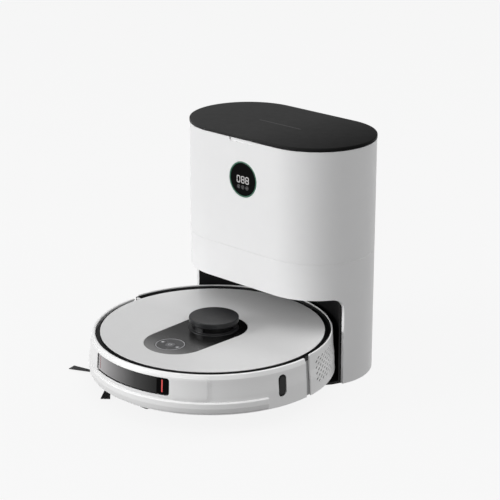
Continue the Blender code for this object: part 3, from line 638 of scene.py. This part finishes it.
def dock_shells():
    bay_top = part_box("bay_liner")[1].z - LINER_RISE
    front = -0.2
    profile = [(front, -0.01), (BAY_EDGE, -0.01)]
    profile += arc((BAY_EDGE - BAY_CORNER, bay_top - BAY_CORNER), BAY_CORNER, 0, 90, 14)
    profile += [(front, bay_top)]
    bay = prism(profile, -0.2, 0.2, "X")
    low = LOWER_LOW.z
    wall = rounded([(0, low, 0.0010), (0, SEAM_Z - SEAM, 0.0004), (WALL, SEAM_Z - SEAM, 0),
                    (WALL, low, 0.0005)], 3)
    inlet_hole = prism(box_outline((0.0382, 0.0242), (0.0618, 0.0398), 0.002), 0.07, 0.1, "Y")
    lower = worked(round_dock(wall), cuts=(bay, inlet_hole), bevel=0.0006)
    piece("lower_casing_shell", lower, "white_shell", "dock", "dock_lower_casing")
    wall = rounded([(0, SEAM_Z + SEAM, 0.0004), (0, DOCK_TOP, 0.0006), (WALL, DOCK_TOP, 0.0003),
                    (WALL, SEAM_Z + SEAM, 0)], 3)
    notch = prism(box_outline((-NOTCH_HALF, NOTCH_FLOOR_Z), (NOTCH_HALF, 0.36), 0.0022, 5),
                  -0.1, NOTCH_BACK_Y, "Y")
    hole = moved(drum(DISPLAY_RADIUS + 0.0002, -0.1, -0.07, 72, "Y"), x=DISPLAY_X, z=DISPLAY_Z)
    vent = prism(box_outline((GRILLE_LOW.x - 0.0003, GRILLE_LOW.z - 0.0003),
                             (GRILLE_HIGH.x + 0.0003, GRILLE_HIGH.z + 0.0003), 0.002), 0.07, 0.1, "Y")
    upper = worked(round_dock(wall), joins=(hinge_lug(1), hinge_lug(-1)),
                   cuts=(notch, hole, vent), bevel=0.0004)
    piece("upper_casing_shell", upper, "white_shell", "dock", "dock_upper_casing")
    tongue = [(0.0014, SEAM_Z - 0.003), (0.0014, SEAM_Z + 0.003), (0.0030, SEAM_Z + 0.003),
              (0.0030, SEAM_Z - 0.003)]
    piece("casing_seam_tongue", round_dock(tongue), "white_shell", "dock")


def hinge_lug(side):
    outline = [(0.0830, 0.3390), (HINGE_Y, HINGE_Z - KNUCKLE)]
    outline += arc((HINGE_Y, HINGE_Z), KNUCKLE, -80, 180, 20)
    outline += [(0.0860, 0.3438), (0.0830, 0.3438)]
    near, far = 0.0305 * side, 0.0365 * side
    return prism(outline, min(near, far), max(near, far), "X")


def dock_lid():
    low, over = DOCK_TOP + 0.0003, -0.0005
    edge = rounded([(0.004, low, 0), (over, low, 0.0008), (over, LID_TOP, 0.0016),
                    (0.004, LID_TOP, 0)], 5)
    line_half, line_width = 0.0390, 0.0006
    line = slot_outline((-line_half, -0.004), (line_half, -0.004), line_width)
    piece("lid_cover", dock_plate(edge, 64), "black_lid", "dock_lid", "dock_lid")
    piece("lid_line", prism(line, LID_TOP - 0.0010, LID_TOP + 0.00003), "faint_mark", "dock_lid")
    knuckle = moved(drum(KNUCKLE, -0.0300, 0.0300, 32, "X", edge=0.0006), y=HINGE_Y, z=HINGE_Z)
    web = block((-0.0298, HINGE_Y - 0.0060, HINGE_Z + 0.0010), (0.0298, HINGE_Y + 0.0010, HINGE_Z + 0.0036))
    piece("lid_knuckle", worked(knuckle, joins=(web,)), "black_lid", "dock_lid")


def digit(character, x, z, width, height, stroke):
    """A seven-segment digit made of bars with pointed ends, facing -Y."""
    half, mid = width / 2, height / 2
    ends = {
        "a": ((-half, height), (half, height)), "g": ((-half, mid), (half, mid)),
        "d": ((-half, 0), (half, 0)), "f": ((-half, mid), (-half, height)),
        "b": ((half, mid), (half, height)), "e": ((-half, 0), (-half, mid)),
        "c": ((half, 0), (half, mid)),
    }
    bars = []
    for name in SEGMENTS[character]:
        first, last = Vector(ends[name][0]), Vector(ends[name][1])
        along = (last - first).normalized()
        across = Vector((-along.y, along.x)) * stroke / 2
        first, last = first + along * stroke * 0.62, last - along * stroke * 0.62
        tip = along * stroke / 2
        outline = [first - tip, first - across, last - across, last + tip, last + across, first + across]
        outline = [(x + point.x, z + point.y) for point in outline]
        bars.append(prism(outline, GLASS_Y - 0.00008, GLASS_Y + 0.0004, "Y"))
    return bars


def dock_display():
    front = GLASS_Y
    at = (DISPLAY_X, 0, DISPLAY_Z)
    ring_inner = DISPLAY_RADIUS - 0.0019
    glass_radius = ring_inner - 0.0003
    glass = rounded([(0, front, 0), (glass_radius, front, 0.0006), (glass_radius, front + 0.0030, 0),
                     (0, front + 0.0030, 0)], 4)
    piece("display_glass", lathe(glass, 96, axis="Y"), "dark_glass", "dock",
          "display_window", at=at)
    ring = rounded([(ring_inner, front - 0.0001, 0.0004), (DISPLAY_RADIUS, front - 0.0001, 0.0008),
                    (DISPLAY_RADIUS, front + 0.0030, 0), (ring_inner, front + 0.0030, 0)], 4)
    piece("display_light_ring", lathe(ring, 96, axis="Y"), "green_ring", "dock",
          "display_ring", at=at)
    bars = []
    for i, character in enumerate("088"):
        bars += digit(character, DIGIT_PITCH * (i - 1), -0.0049, 0.0052, 0.0092, 0.0012)
    piece("display_digits", together(*bars), "digits", "dock", at=at)
    low, high, z = GLASS_Y - 0.00006, GLASS_Y + 0.0004, ICON_Z
    rings = [moved(tube(ICON_RADIUS - 0.0006, ICON_RADIUS, low, high, 32, axis="Y"),
                   x=ICON_PITCH * side, z=z) for side in (-1, 0, 1)]
    drop = arc((-ICON_PITCH, z - 0.0003), 0.0010, 150, 390, 12) + [(-ICON_PITCH, z + 0.0016)]
    blade = slot_outline((0.0003, 0), (0.0013, 0), 0.0005)
    blades = [moved(spun(prism(blade, low, high, "Y"), turn, "Y"), z=z) for turn in (90, 210, 330)]
    bag = rounded([(0.0066, z - 0.0012, 0.0004), (0.0094, z - 0.0012, 0.0004),
                   (0.0088, z + 0.0012, 0.0003), (0.0072, z + 0.0012, 0.0003)])
    shapes = rings + blades + [prism(drop, low, high, "Y"), prism(bag, low, high, "Y")]
    piece("display_icons", together(*shapes), "dim_icons", "dock", at=at)


def dock_rear():
    low, high = GRILLE_LOW, GRILLE_HIGH
    plate = prism(box_outline((low.x, low.z), (high.x, high.z), 0.0020), low.y, high.y, "Y")
    slots = []
    for row in range(GRILLE_ROWS):
        z = low.z + 0.0055 + GRILLE_PITCH * row
        slots.append(prism(slot_outline((low.x + 0.0068, z), (high.x - 0.0068, z), 0.0018),
                           low.y - 0.01, high.y + 0.01, "Y"))
    grille = worked(plate, cuts=slots, bevel=0.0004)
    piece("rear_exhaust_grille", grille, "grey_plastic", "dock", "exhaust_grille")
    ilow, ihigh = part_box("mains_inlet")
    body = prism(box_outline((ilow.x, ilow.z), (ihigh.x, ihigh.z), 0.0018), ilow.y, ihigh.y, "Y")
    middle_x, middle_z = (ilow.x + ihigh.x) / 2, (ilow.z + ihigh.z) / 2
    well = slot_outline((middle_x - 0.0040, middle_z), (middle_x + 0.0040, middle_z), 0.0045, 12)
    body = worked(body, cuts=(prism(well, ilow.y + 0.0050, 0.1, "Y"),), bevel=0.0004)
    piece("inlet_socket", body, "black_plastic", "dock", "mains_inlet")
    pins = [moved(drum(0.0011, ilow.y + 0.0045, ihigh.y - 0.0020, 16, "Y", edge=0.0005),
                  x=middle_x + side * 0.0036, z=middle_z) for side in (-1, 1)]
    piece("inlet_pins", together(*pins), "steel", "dock")


# The robot

def side_radius(z):
    """The outer radius of the robot's side wall at a height."""
    return between(SIDE_WALL, z)


def rear_radius(z):
    return between(REAR_WALL, z)


def between(stations, z):
    if z <= stations[0][0]:
        return stations[0][1]
    for (z0, r0), (z1, r1) in zip(stations, stations[1:]):
        if z <= z1:
            return r0 + (r1 - r0) * (z - z0) / (z1 - z0)
    return stations[-1][1]


def window_hole():
    return patch(WINDOW_START - 0.1, WINDOW_END + 0.1, WINDOW_LOW, WINDOW_HIGH, 0.0042, 0.155, 0.19)


def oval(radius, low, high, inset=0.0):
    outline = slot_outline((0, OVAL_LOW + inset), (0, OVAL_HIGH - inset), radius, 16)
    return spun(prism(outline, low, high, "X"), OVAL_TURN)


def bumper():
    profile = rounded([
        (0.1735, 0.0246, 0.0006), (0.1728, 0.0500, 0.02), (0.1715, 0.0650, 0.01),
        (0.1710, 0.0740, 0.004), (0.1687, 0.0800, 0.0012), (0.1656, 0.0800, 0.0005),
        (0.1656, 0.0778, 0), (0.1678, 0.0765, 0), (0.1688, 0.0700, 0), (0.1705, 0.0500, 0),
        (0.1711, 0.0246, 0.0004)], 4)
    shell = lathe(profile, 230, BUMPER_START, BUMPER_SWEEP)
    shell = worked(shell, cuts=(window_hole(), oval(0.0064, 0.12, 0.20)), bevel=0.0005)
    piece("bumper_shell", shell, "robot_white", "bumper", "bumper", at=AXIS)
    for name, start, end, low, high, corner, proud in PANEL_STEPS:
        pad = patch(start, end, low, high, corner, lambda z: side_radius(z) - 0.0012,
                    lambda z: side_radius(z) + proud, 96, 14)
        pad = worked(pad, cuts=(window_hole(),), bevel=0.0002, segments=1)
        piece(name, pad, "robot_white", "bumper", at=AXIS, sharp=25)
    ridge = rounded([(0.1720, 0.0268, 0), (0.1748, 0.0268, 0.0012), (0.1760, 0.0340, 0.004),
                     (0.1756, 0.0412, 0.0014), (0.1722, 0.0428, 0)], 4)
    ridge = worked(lathe(ridge, 180, RIDGE_START, RIDGE_SWEEP), bevel=0.0006, angle=60)
    piece("bumper_ridge", ridge, "robot_white", "bumper", at=AXIS)
    windows()


def windows():
    def sunk(depth):
        return lambda z: side_radius(z) - depth

    frame_pad = patch(WINDOW_START, WINDOW_END, WINDOW_LOW + 0.0002, WINDOW_HIGH - 0.0002, 0.0040,
                      sunk(0.0030), sunk(0.0010))
    piece("window_frame", frame_pad, "window_frame", "bumper", "front_window", at=AXIS)
    inset, end = 0.0014, 0.55
    lens_low, lens_high = WINDOW_LOW + inset, WINDOW_HIGH - inset
    lens_start, lens_end = WINDOW_START + end, -71.6
    lens = patch(lens_start, lens_end, lens_low, lens_high, 0.0008, sunk(0.0020), sunk(0.0003))
    piece("window_lens", worked(lens, bevel=0.0002), "window_tint", "bumper", at=AXIS)
    end_cover = patch(-71.5, WINDOW_END - end, lens_low, lens_high, 0.0030, sunk(0.0020), sunk(0.0003))
    piece("window_end", worked(end_cover, bevel=0.0002), "dark_glass", "bumper", at=AXIS)
    lamps = ((-68.9, 0.30, "lamp_red", "lamp_right"), (-109.6, 0.34, "lamp_dim", "lamp_left"))
    for turn, half, finish, name in lamps:
        strip = patch(turn - half, turn + half, LAMP_LOW, LAMP_HIGH, 0.0006, sunk(0.0012), sunk(0.00022),
                      16)
        piece(name, strip, finish, "bumper", at=AXIS)
    piece("side_sensor_frame", worked(oval(0.0061, 0.1695, 0.1708), bevel=0.0003), "window_frame",
          "bumper", "side_window", at=AXIS)
    piece("side_sensor_lens", worked(oval(0.0046, 0.1695, 0.1715, 0.0010), bevel=0.0006), "sensor_tint",
          "bumper", at=AXIS)


def vent_slots():
    """Staggered columns of short slanted slots through the rear shell."""
    slots = []
    lean = radians(VENT_LEAN)
    across, up = VENT_HALF * cos(lean), VENT_HALF * sin(lean)
    outline = slot_outline((-across, -up), (across, up), VENT_RADIUS, 4)
    column = 0
    turn = VENT_START
    while turn < VENT_END:
        z = VENT_LOW + (VENT_PITCH / 2 if column % 2 == 0 else 0)
        while z < VENT_HIGH:
            slot = prism([(u, z + v) for u, v in outline], 0.160, 0.180, "X")
            slots.append(spun(slot, turn))
            z += VENT_PITCH
        turn += VENT_STEP
        column += 1
    return together(*slots)


def rear_shell():
    profile = rounded([
        (0.1735, 0.0240, 0.0008), (0.1729, 0.0290, 0), (0.1723, 0.0460, 0.02), (0.1706, 0.0590, 0.02),
        (0.1698, 0.0770, 0.01), (0.1696, 0.0830, 0.0010), (0.1675, 0.0830, 0.0005), (0.1675, 0.0740, 0),
        (0.1683, 0.0590, 0), (0.1699, 0.0460, 0), (0.1706, 0.0240, 0.0004)], 4)
    shell = lathe(profile, 220, SHELL_START, 180 - 2 * SHELL_START)
    port = moved(drum(0.0115, 0.15, 0.19, 40, "Y"), z=0.05)
    contacts = [spun(block((-0.0068, 0.16, 0.0222), (0.0068, 0.18, 0.0298)), -10 * side)
                for side in (1, -1)]
    shell = worked(shell, cuts=[port, vent_slots()] + contacts, bevel=0.00025, segments=1)
    piece("rear_shell_skin", shell, "robot_white", "robot", "rear_shell", at=AXIS)
    # The joint strips are white plastic set back from the shell; their grey colour is painted shade.
    for name, start in (("right_joint_strip", JOINT_START), ("left_joint_strip", 180 - JOINT_END)):
        strip = [(rear_radius(z) - 0.0048, z) for z in (0.0246, 0.0420, 0.0590, 0.0764)]
        strip += [(r + 0.0014, z) for r, z in reversed(strip)]
        piece(name, lathe(strip, 4, start, JOINT_END - JOINT_START), "joint_white", "robot",
              at=AXIS)
    backing = patch(VENT_START - 2, VENT_END + 2, VENT_LOW - 0.004, VENT_HIGH + 0.003, 0.002,
                    lambda z: rear_radius(z) - 0.0016, lambda z: rear_radius(z) - 0.0004)
    piece("vent_backing", backing, "turret_black", "robot", at=AXIS)


def robot_top():
    ring = rounded([(0.1500, 0.0742, 0), (0.1640, 0.0742, 0), (0.1643, 0.0758, 0.0004),
                    (0.1500, 0.0762, 0)], 3)
    piece("gap_ring", lathe(ring, 192), "black_plastic", "robot", "top_deck", at=AXIS)
    lip = [(0.1630, 0.0745), (0.1673, 0.0745), (0.1673, 0.0815), (0.1667, 0.0815), (0.1652, 0.0775),
           (0.1630, 0.0765)]
    piece("gap_ring_lip", lathe(lip, 160, RING_START, 180 - 2 * RING_START), "black_plastic",
          "robot", at=AXIS)
    bridge = tube(0.1588, 0.1672, 0.0765, 0.0803, 3, 180 - RING_START - BRIDGE_SWEEP, BRIDGE_SWEEP)
    piece("ring_bridge", worked(bridge, bevel=0.0003), "robot_white", "robot", at=AXIS)
    skirt_top = DISC_Z - 0.0007
    skirt = tube(DISC_INNER, DISC_RADIUS - 0.0002, DISC_LOW.z, skirt_top, 192)
    piece("lid_skirt", skirt, "black_plastic", "robot", at=AXIS)
    inner = DISC_INNER - 0.0005
    disc = lathe(rounded([(0, skirt_top - 0.0008, 0), (inner, skirt_top - 0.0008, 0),
                          (inner, skirt_top, 0), (DISC_RADIUS, skirt_top, 0.0001),
                          (DISC_RADIUS, DISC_Z, 0.0006), (0, DISC_Z, 0)], 5), 256)
    recess = prism(belt(0.0003), 0.07, 0.09)
    disc = worked(disc, cuts=(recess,), bevel=0.0003)
    piece("lid_disc", disc, "silver_lid", "robot", "robot_lid", at=AXIS)
    inlay = prism(belt(0.0), DISC_LOW.z + 0.0001, DISC_Z - 0.0002)
    turret_hole = moved(drum(0.0358, 0.07, 0.09, 96), y=TURRET_Y)
    key_hole = moved(drum(0.0213, 0.07, 0.09, 72), y=KEYS_Y)
    inlay = worked(inlay, cuts=(turret_hole, key_hole), bevel=0.0003)
    piece("inlay_plate", inlay, "inlay", "robot", "lid_inlay", at=AXIS)


def belt(grow):
    return belt_outline((0, TURRET_Y), (0, BELT_END_Y), BELT_RADIUS + grow, BELT_END_RADIUS + grow)


def keys():
    at = AXIS + Vector((0, KEYS_Y, 0))
    dish = lathe(rounded([(0, 0.0777, 0), (0.0210, 0.0777, 0), (0.0210, 0.0803, 0.0004),
                          (0.0192, 0.0802, 0.0008), (0.0180, 0.0797, 0.001), (0, 0.0796, 0)], 4), 96)
    places = ((0.0, POWER_RADIUS, "power_key", "power_button"),
              (-KEY_X, KEY_RADIUS, "home_key", "home_button"),
              (KEY_X, KEY_RADIUS, "spot_key", "spot_button"))
    holes = [moved(drum(radius + 0.0002, 0.07, 0.09, 48), x=x) for x, radius, _, _ in places]
    dish = worked(dish, cuts=holes, bevel=0.0002)
    piece("key_dish", dish, "key_dish", "robot", "key_panel", at=at)
    rim = rounded([(0.0193, 0.0800, 0), (0.0206, 0.0800, 0), (0.0206, 0.08045, 0.0002),
                   (0.0193, 0.08045, 0.0002)], 3)
    piece("key_dish_rim", lathe(rim, 96), "key_rim", "robot", at=at)
    for x, radius, name, node in places:
        cap = lathe(rounded([(0, 0.0782, 0), (radius, 0.0782, 0), (radius, 0.0801, 0.0004),
                             (radius * 0.6, 0.0802, 0.004), (0, 0.0800, 0)], 4), 64)
        piece(name, cap, "key_tops", node, node, at=at + Vector((x, 0, 0)))
    low, high = 0.0796, 0.0803
    power = [tube(0.0020, 0.0026, low, high, 30, 120, 300),
             block((-0.0003, 0.0010, low), (0.0003, 0.0032, high))]
    piece("power_mark", together(*power), "marks", "power_button", at=at)
    house = rounded([(-0.0017, -0.0016, 0.0002), (0.0017, -0.0016, 0.0002), (0.0017, 0.0004, 0),
                     (0, 0.0021, 0.0002), (-0.0017, 0.0004, 0)], 2)
    piece("home_mark", prism(house, low, high), "marks", "home_button",
          at=at - Vector((KEY_X, 0, 0)))
    target = [tube(0.0013, 0.0019, low, high, 30), drum(0.0006, low, high, 16)]
    piece("spot_mark", together(*target), "marks", "spot_button",
          at=at + Vector((KEY_X, 0, 0)))


def turret():
    at = AXIS + Vector((0, TURRET_Y, 0))
    cup = lathe(rounded([
        (0, 0.0680, 0), (0.0355, 0.0680, 0), (0.0355, 0.0815, 0.0010), (0.0318, 0.0818, 0.0005),
        (0.0318, 0.0826, 0.0003), (0.0240, 0.0826, 0.0003), (0.0240, 0.0705, 0), (0, 0.0705, 0)], 4), 96)
    posts = [tube(0.0300, 0.0316, 0.0815, 0.0896, 10, middle - 14, 28) for middle in (30, 150, 270)]
    piece("turret_cup", worked(cup, joins=posts), "turret_dark", "robot",
          "turret_base", at=at)
    head = lathe(rounded([
        (0, 0.0709, 0), (0.0225, 0.0709, 0.0005), (0.0225, 0.0830, 0.0003), (0.0293, 0.0832, 0.0004),
        (0.0293, 0.0890, 0.0005), (0, 0.0890, 0)], 3), 96)
    window = patch(65, 115, 0.0842, 0.0880, 0.0008, 0.0268, 0.04, 24, 4)
    piece("lidar_drum", worked(head, cuts=(window,), bevel=0.0002), "turret_black", "lidar_head",
          "lidar_head", at=at)
    eyes = [moved(drum(0.0017, 0.0255, 0.0274, 24, "Y", edge=0.0004), x=x, z=0.0861)
            for x in (-0.0070, 0.0060)]
    piece("lidar_eyes", together(*eyes), "dark_glass", "lidar_head", at=at)
    radius = (CAP_HIGH.x - CAP_LOW.x) / 2
    low, top = CAP_LOW.z, CAP_HIGH.z
    cap = lathe(rounded([
        (0, low, 0), (radius - 0.0012, low, 0.0004), (radius, low + 0.0016, 0.0010),
        (radius, top - 0.0004, 0.0009), (radius - 0.0016, top, 0.0008), (0, top - 0.0003, 0)], 5), 128)
    piece("turret_lid", cap, "turret_dark", "robot", "turret_cap", at=at)


# Underneath and inside

def tyre(node):
    """A tyre with a chevron tread."""
    low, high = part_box(node)
    half, radius = (high.x - low.x) / 2, (high.z - low.z) / 2
    steps, columns = 192, 16
    rings = []
    for step in range(steps):
        turn = step / steps
        ring = []
        for column in range(columns + 1):
            x = half * (2 * column / columns - 1)
            shoulder = max(0.0, abs(x) - half + 0.0028)
            lug = (turn * TREAD_LUGS + 0.8 * abs(x) / half) % 1
            tread = TREAD_DEPTH if lug < 0.4 else 0.0
            ring.append((x, radius - 0.8 * shoulder - tread))
        ring += [(half, TREAD_FLOOR), (-half, TREAD_FLOOR)]
        c, s = cos(2 * pi * turn), sin(2 * pi * turn)
        rings.append([(x, r * c, r * s) for x, r in ring])
    body = frame["nodes"][node].parent.name.split(":")[1]
    piece(f"{node}_tread", loft(rings, closed=True), "tyre", body, node,
          at=(low + high) / 2, sharp=25)


def main_roller():
    """The main brush: rubber blades wound in a chevron, with rows of bristles between them."""
    low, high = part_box("main_brush")
    half, radius, core = (high.x - low.x) / 2, (high.z - low.z) / 2, ROLLER_CORE
    at = (low + high) / 2
    blade = ((-12, core), (-5, core + 0.0010), (-2.4, radius - 0.0008), (-1.2, radius),
             (1.2, radius), (2.4, radius - 0.0008), (5, core + 0.0010), (12, core), (45, core))
    steps = 72
    rings, rows = [], []
    for step in range(steps + 1):
        x = half * (2 * step / steps - 1)
        twist = ROLLER_TWIST * abs(x) / half
        ring = []
        for quarter in range(4):
            for turn, r in blade:
                angle = radians(90 * quarter + turn + twist)
                ring.append((x, r * cos(angle), r * sin(angle)))
        rings.append(ring)
    piece("roller_blades", loft(rings), "rubber", "main_brush", "main_brush",
          at=at)
    for tuft in range(ROLLER_TUFTS):
        x = (half - 0.0012) * (2 * tuft / (ROLLER_TUFTS - 1) - 1)
        twist = ROLLER_TWIST * abs(x) / half
        for quarter in range(4):
            angle = radians(90 * quarter + 45 + twist)
            rows.append(bristle((x, core * cos(angle), core * sin(angle)),
                                (x, radius * 0.985 * cos(angle), radius * 0.985 * sin(angle)),
                                0.00055, 0.00035))
    piece("roller_bristles", one_shape(rows), "bristle", "main_brush", at=at)


def bristle(root, tip, thick, thin):
    """The corner rings of one tapered bristle."""
    root, tip = Vector(root), Vector(tip)
    along = (tip - root).normalized()
    side = along.orthogonal().normalized()
    other = along.cross(side)
    corners = (side + other, side - other, -side - other, other - side)
    return ([root + corner * thick / 2 for corner in corners],
            [tip + corner * thin / 2 for corner in corners])


def one_shape(bristles):
    shape = bmesh.new()
    for rings in bristles:
        first, last = [[shape.verts.new(point) for point in ring] for ring in rings]
        for i in range(4):
            j = (i + 1) % 4
            shape.faces.new((first[i], first[j], last[j], last[i]))
        shape.faces.new(first)
        shape.faces.new(last)
    return shape


def side_whisk():
    """The side brush: a hub, three soft arms and a fan of bristles on each."""
    at = AXIS + SIDE_BRUSH_PLACE
    hub = lathe(rounded([(0, 0.0050, 0), (0.0085, 0.0050, 0.0010), (0.0120, 0.0075, 0.0008),
                         (0.0120, 0.0100, 0.0008), (0.0050, 0.0113, 0), (0.0022, 0.0113, 0),
                         (0.0022, 0.0255, 0.0003), (0, 0.0255, 0)], 4), 48)
    screw = block((-0.0022, -0.0004, 0.0045), (0.0022, 0.0004, 0.0058))
    arms, fans = [], []
    chance = random.Random(4)
    for arm in range(3):
        turn = SIDE_BRUSH_TURN + 120 * arm
        sections = ((0.0080, 0.0032, 0.0058, 0.0094), (0.0200, 0.0024, 0.0050, 0.0078),
                    (0.0330, 0.0021, 0.0036, 0.0060))
        stem = loft([[(x, y, z) for y, z in box_outline((-half, low), (half, high), 0.0010)]
                     for x, half, low, high in sections])
        arms.append(spun(stem, turn))
        for i in range(3 * SIDE_BRUSH_ROW):
            spread = 2 * (i % SIDE_BRUSH_ROW) / (SIDE_BRUSH_ROW - 1) - 1 + chance.uniform(-0.05, 0.05)
            layer = i // SIDE_BRUSH_ROW - 1
            reach = SIDE_BRUSH_REACH - 0.0006 - chance.uniform(0, 0.0012)
            rotate = Matrix.Rotation(radians(turn), 3, "Z")
            root = rotate @ Vector((0.0300, 0.0016 * spread, 0.0048 + 0.0005 * layer))
            tip = rotate @ Vector((reach, 0.0062 * spread, 0.0020 + 0.0004 * layer))
            fans.append(bristle(root, tip, 0.00050, 0.00042))
    piece("whisk_hub", worked(hub, cuts=(screw,), joins=arms), "bristle", "side_brush",
          "side_brush", at=at)
    piece("whisk_bristles", one_shape(fans), "bristle", "side_brush", at=at)


def caster():
    low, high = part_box("caster_wheel")
    radius = (high.z - low.z) / 2
    half = 0.0062
    wheel = lathe(rounded([(0, -half, 0), (radius, -half, 0.0022), (radius, half, 0.0022), (0, half, 0)],
                          5), 64, axis="X")
    pin = drum(0.0020, low.x - (low.x + high.x) / 2, (high.x - low.x) / 2, 20, "X")
    grooves = [moved(tube(radius - 0.0006, radius + 0.001, -0.0004, 0.0004, 64, axis="X"), x=x)
               for x in (-0.0022, 0.0022)]
    piece("caster_roller", worked(wheel, cuts=grooves, joins=(pin,)), "tyre", "caster_wheel",
          "caster_wheel", at=(low + high) / 2)


def belly():
    """What the underside of the robot carries."""
    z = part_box("chassis")[0].z
    for i, turn in enumerate((-62, -118, -20, 200, 40, 140)):
        eye = worked(block((0.1240, -0.0075, z - 0.0004), (0.1320, 0.0075, z + 0.0010)), bevel=0.0012)
        piece(f"cliff_window_{i}", spun(eye, turn), "dark_glass", "robot", at=AXIS)
    door = prism(box_outline((-0.0480, 0.0660), (0.0480, 0.1180), 0.0060, 6), z - 0.0005, z + 0.0010)
    grips = [prism(slot_outline((-0.0100, y), (0.0100, y), 0.0009), z - 0.01, z)
             for y in (0.1080, 0.1110, 0.1140)]
    piece("battery_door", worked(door, cuts=grips, bevel=0.0003), "dark_plastic", "robot",
          at=AXIS)
    heads = []
    for x, y in ((-0.040, -0.060), (0.040, -0.060), (-0.070, 0.090), (0.070, 0.090), (-0.060, -0.1),
                 (0.070, -0.095), (-0.030, 0.132), (0.030, 0.132)):
        head = drum(0.0030, z - 0.0004, z + 0.0010, 24, edge=0.0003)
        cross = [block((-0.0020, -0.0003, z - 0.001), (0.0020, 0.0003, z + 0.0004)),
                 block((-0.0003, -0.0020, z - 0.001), (0.0003, 0.0020, z + 0.0004))]
        heads.append(moved(worked(head, cuts=cross), x=x, y=y))
    piece("belly_screws", together(*heads), "steel", "robot", at=AXIS)


def dust_bag():
    """The fleece dust bag, blown up a little as a bag in use is."""
    low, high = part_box("dust_bag")
    inset = Vector((BAG_SWELL, BAG_SWELL, BAG_SWELL))
    shape = block(low + inset, high - inset)
    bag = mesh_object("fleece_bag", worked(shape, bevel=0.014, segments=3))
    remesh = bag.modifiers.new("cells", "REMESH")
    remesh.mode = "VOXEL"
    remesh.voxel_size = BAG_CELL
    apply_modifiers(bag)
    start = [vertex.co.copy() for vertex in bag.data.vertices]
    cloth = bag.modifiers.new("cloth", "CLOTH")
    cloth.settings.use_pressure = True
    cloth.settings.uniform_pressure_force = 4.0
    cloth.settings.effector_weights.gravity = 0.0
    cloth.point_cache.frame_end = BAG_STEPS
    for step in range(1, BAG_STEPS + 1):
        bpy.context.scene.frame_set(step)
    apply_modifiers(bag)
    bpy.context.scene.frame_set(1)
    for vertex, was in zip(bag.data.vertices, start):
        shift = vertex.co - was
        if shift.length > BAG_SWELL:
            vertex.co = was + shift.normalized() * BAG_SWELL
        crease = noise.noise(was * 45.0) * 0.0022 + noise.noise(was * 110.0) * 0.0009
        vertex.co += vertex.normal * crease
        vertex.co = [min(max(part, first + 0.0001), last - 0.0001)
                     for part, first, last in zip(vertex.co, low, high)]
    smooth = bag.modifiers.new("finer", "SUBSURF")
    smooth.levels = smooth.render_levels = 1
    apply_modifiers(bag)
    bag.data.materials.append(FINISHES["filter_paper"])
    bag.data.shade_smooth()
    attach(bag, "dock")
    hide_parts("dust_bag")


def mouldings():
    """Plainer parts keep their CAD shape, with rounded edges."""
    for node in ("bay_liner", "floor_plate", "bag_compartment", "bag_collar", "air_duct",
                 "suction_housing", "chassis", "brush_guard", "left_hub", "right_hub", "left_arm",
                 "right_arm", "caster_fork", "dust_box", "blower_housing", "battery_pack",
                 "outlet_flap", "foot_left", "foot_right", "suction_impeller", "blower_impeller",
                 "brush_gearbox", "dock_contact_left", "dock_contact_right", "port_seal",
                 "robot_contact_left", "robot_contact_right", "lid_hinge_pin"):
        softened(node)


# Stage

def camera():
    azimuth, elevation = radians(VIEW_AZIMUTH), radians(VIEW_ELEVATION)
    back = Vector((sin(azimuth) * cos(elevation), -cos(azimuth) * cos(elevation),
                   sin(elevation)))
    lens = bpy.data.cameras.new("camera")
    lens.lens = VIEW_LENS
    lens.sensor_width = 36.0
    lens.clip_end = 60.0
    thing = bpy.context.scene.camera = linked("camera", lens)
    thing.location = VIEW_AIM + back * VIEW_DISTANCE
    thing.rotation_euler = (-back).to_track_quat("-Z", "Y").to_euler()


def area_light(name, place, power):
    lamp = bpy.data.lights.new(name, "AREA")
    lamp.shape = "DISK"
    lamp.size = LAMP_SIZE
    lamp.energy = power
    thing = linked(name, lamp)
    thing.location = place
    thing.rotation_euler = (LAMP_AIM - place).to_track_quat("-Z", "Y").to_euler()


def surroundings():
    """A studio that is dark at the horizon and bright overhead."""
    world = bpy.data.worlds.new("studio")
    bpy.context.scene.world = world
    world.use_nodes = True
    tree = world.node_tree
    split = tree.nodes.new("ShaderNodeSeparateXYZ")
    tree.links.new(tree.nodes.new("ShaderNodeTexCoord").outputs["Generated"], split.inputs["Vector"])
    level = tree.nodes.new("ShaderNodeMapRange")
    level.inputs["To Max"].default_value = OVERHEAD
    tree.links.new(split.outputs["Z"], level.inputs["Value"])
    background = tree.nodes["Background"]
    background.inputs["Color"].default_value = (1, 1, 1, 1)
    tree.links.new(level.outputs["Result"], background.inputs["Strength"])


def studio():
    floor = mesh_object("floor", block((-FLOOR_HALF, -FLOOR_HALF, -0.02),
                                       (FLOOR_HALF, FLOOR_HALF, -0.0002)))
    nodes = Nodes("floor")
    pale = nodes.remap(nodes.noise(3.0), 0.0, 1.0)
    nodes.fill(nodes.shader, {
        "Base Color": nodes.mix(pale, grey(0.050), grey(0.052)), "Roughness": 0.9,
        "Specular IOR Level": 0.0, "Emission Color": (1, 1, 1), "Emission Strength": FLOOR_GLOW})
    floor.data.materials.append(FINISHES["floor"])
    floor.visible_diffuse = False
    for i, (toward, power) in enumerate(LAMPS):
        area_light(f"lamp_{i}", LAMP_AIM + Vector(toward).normalized() * LAMP_DISTANCE, power)
    surroundings()
    bpy.context.scene.view_settings.view_transform = "Standard"


make_finishes()
finish_cad_nodes()
camera()
dust_bag()
dock_shells()
dock_lid()
dock_display()
dock_rear()
bumper()
rear_shell()
robot_top()
keys()
turret()
for name in ("left_tyre", "right_tyre"):
    tyre(name)
main_roller()
side_whisk()
caster()
belly()
mouldings()
studio()
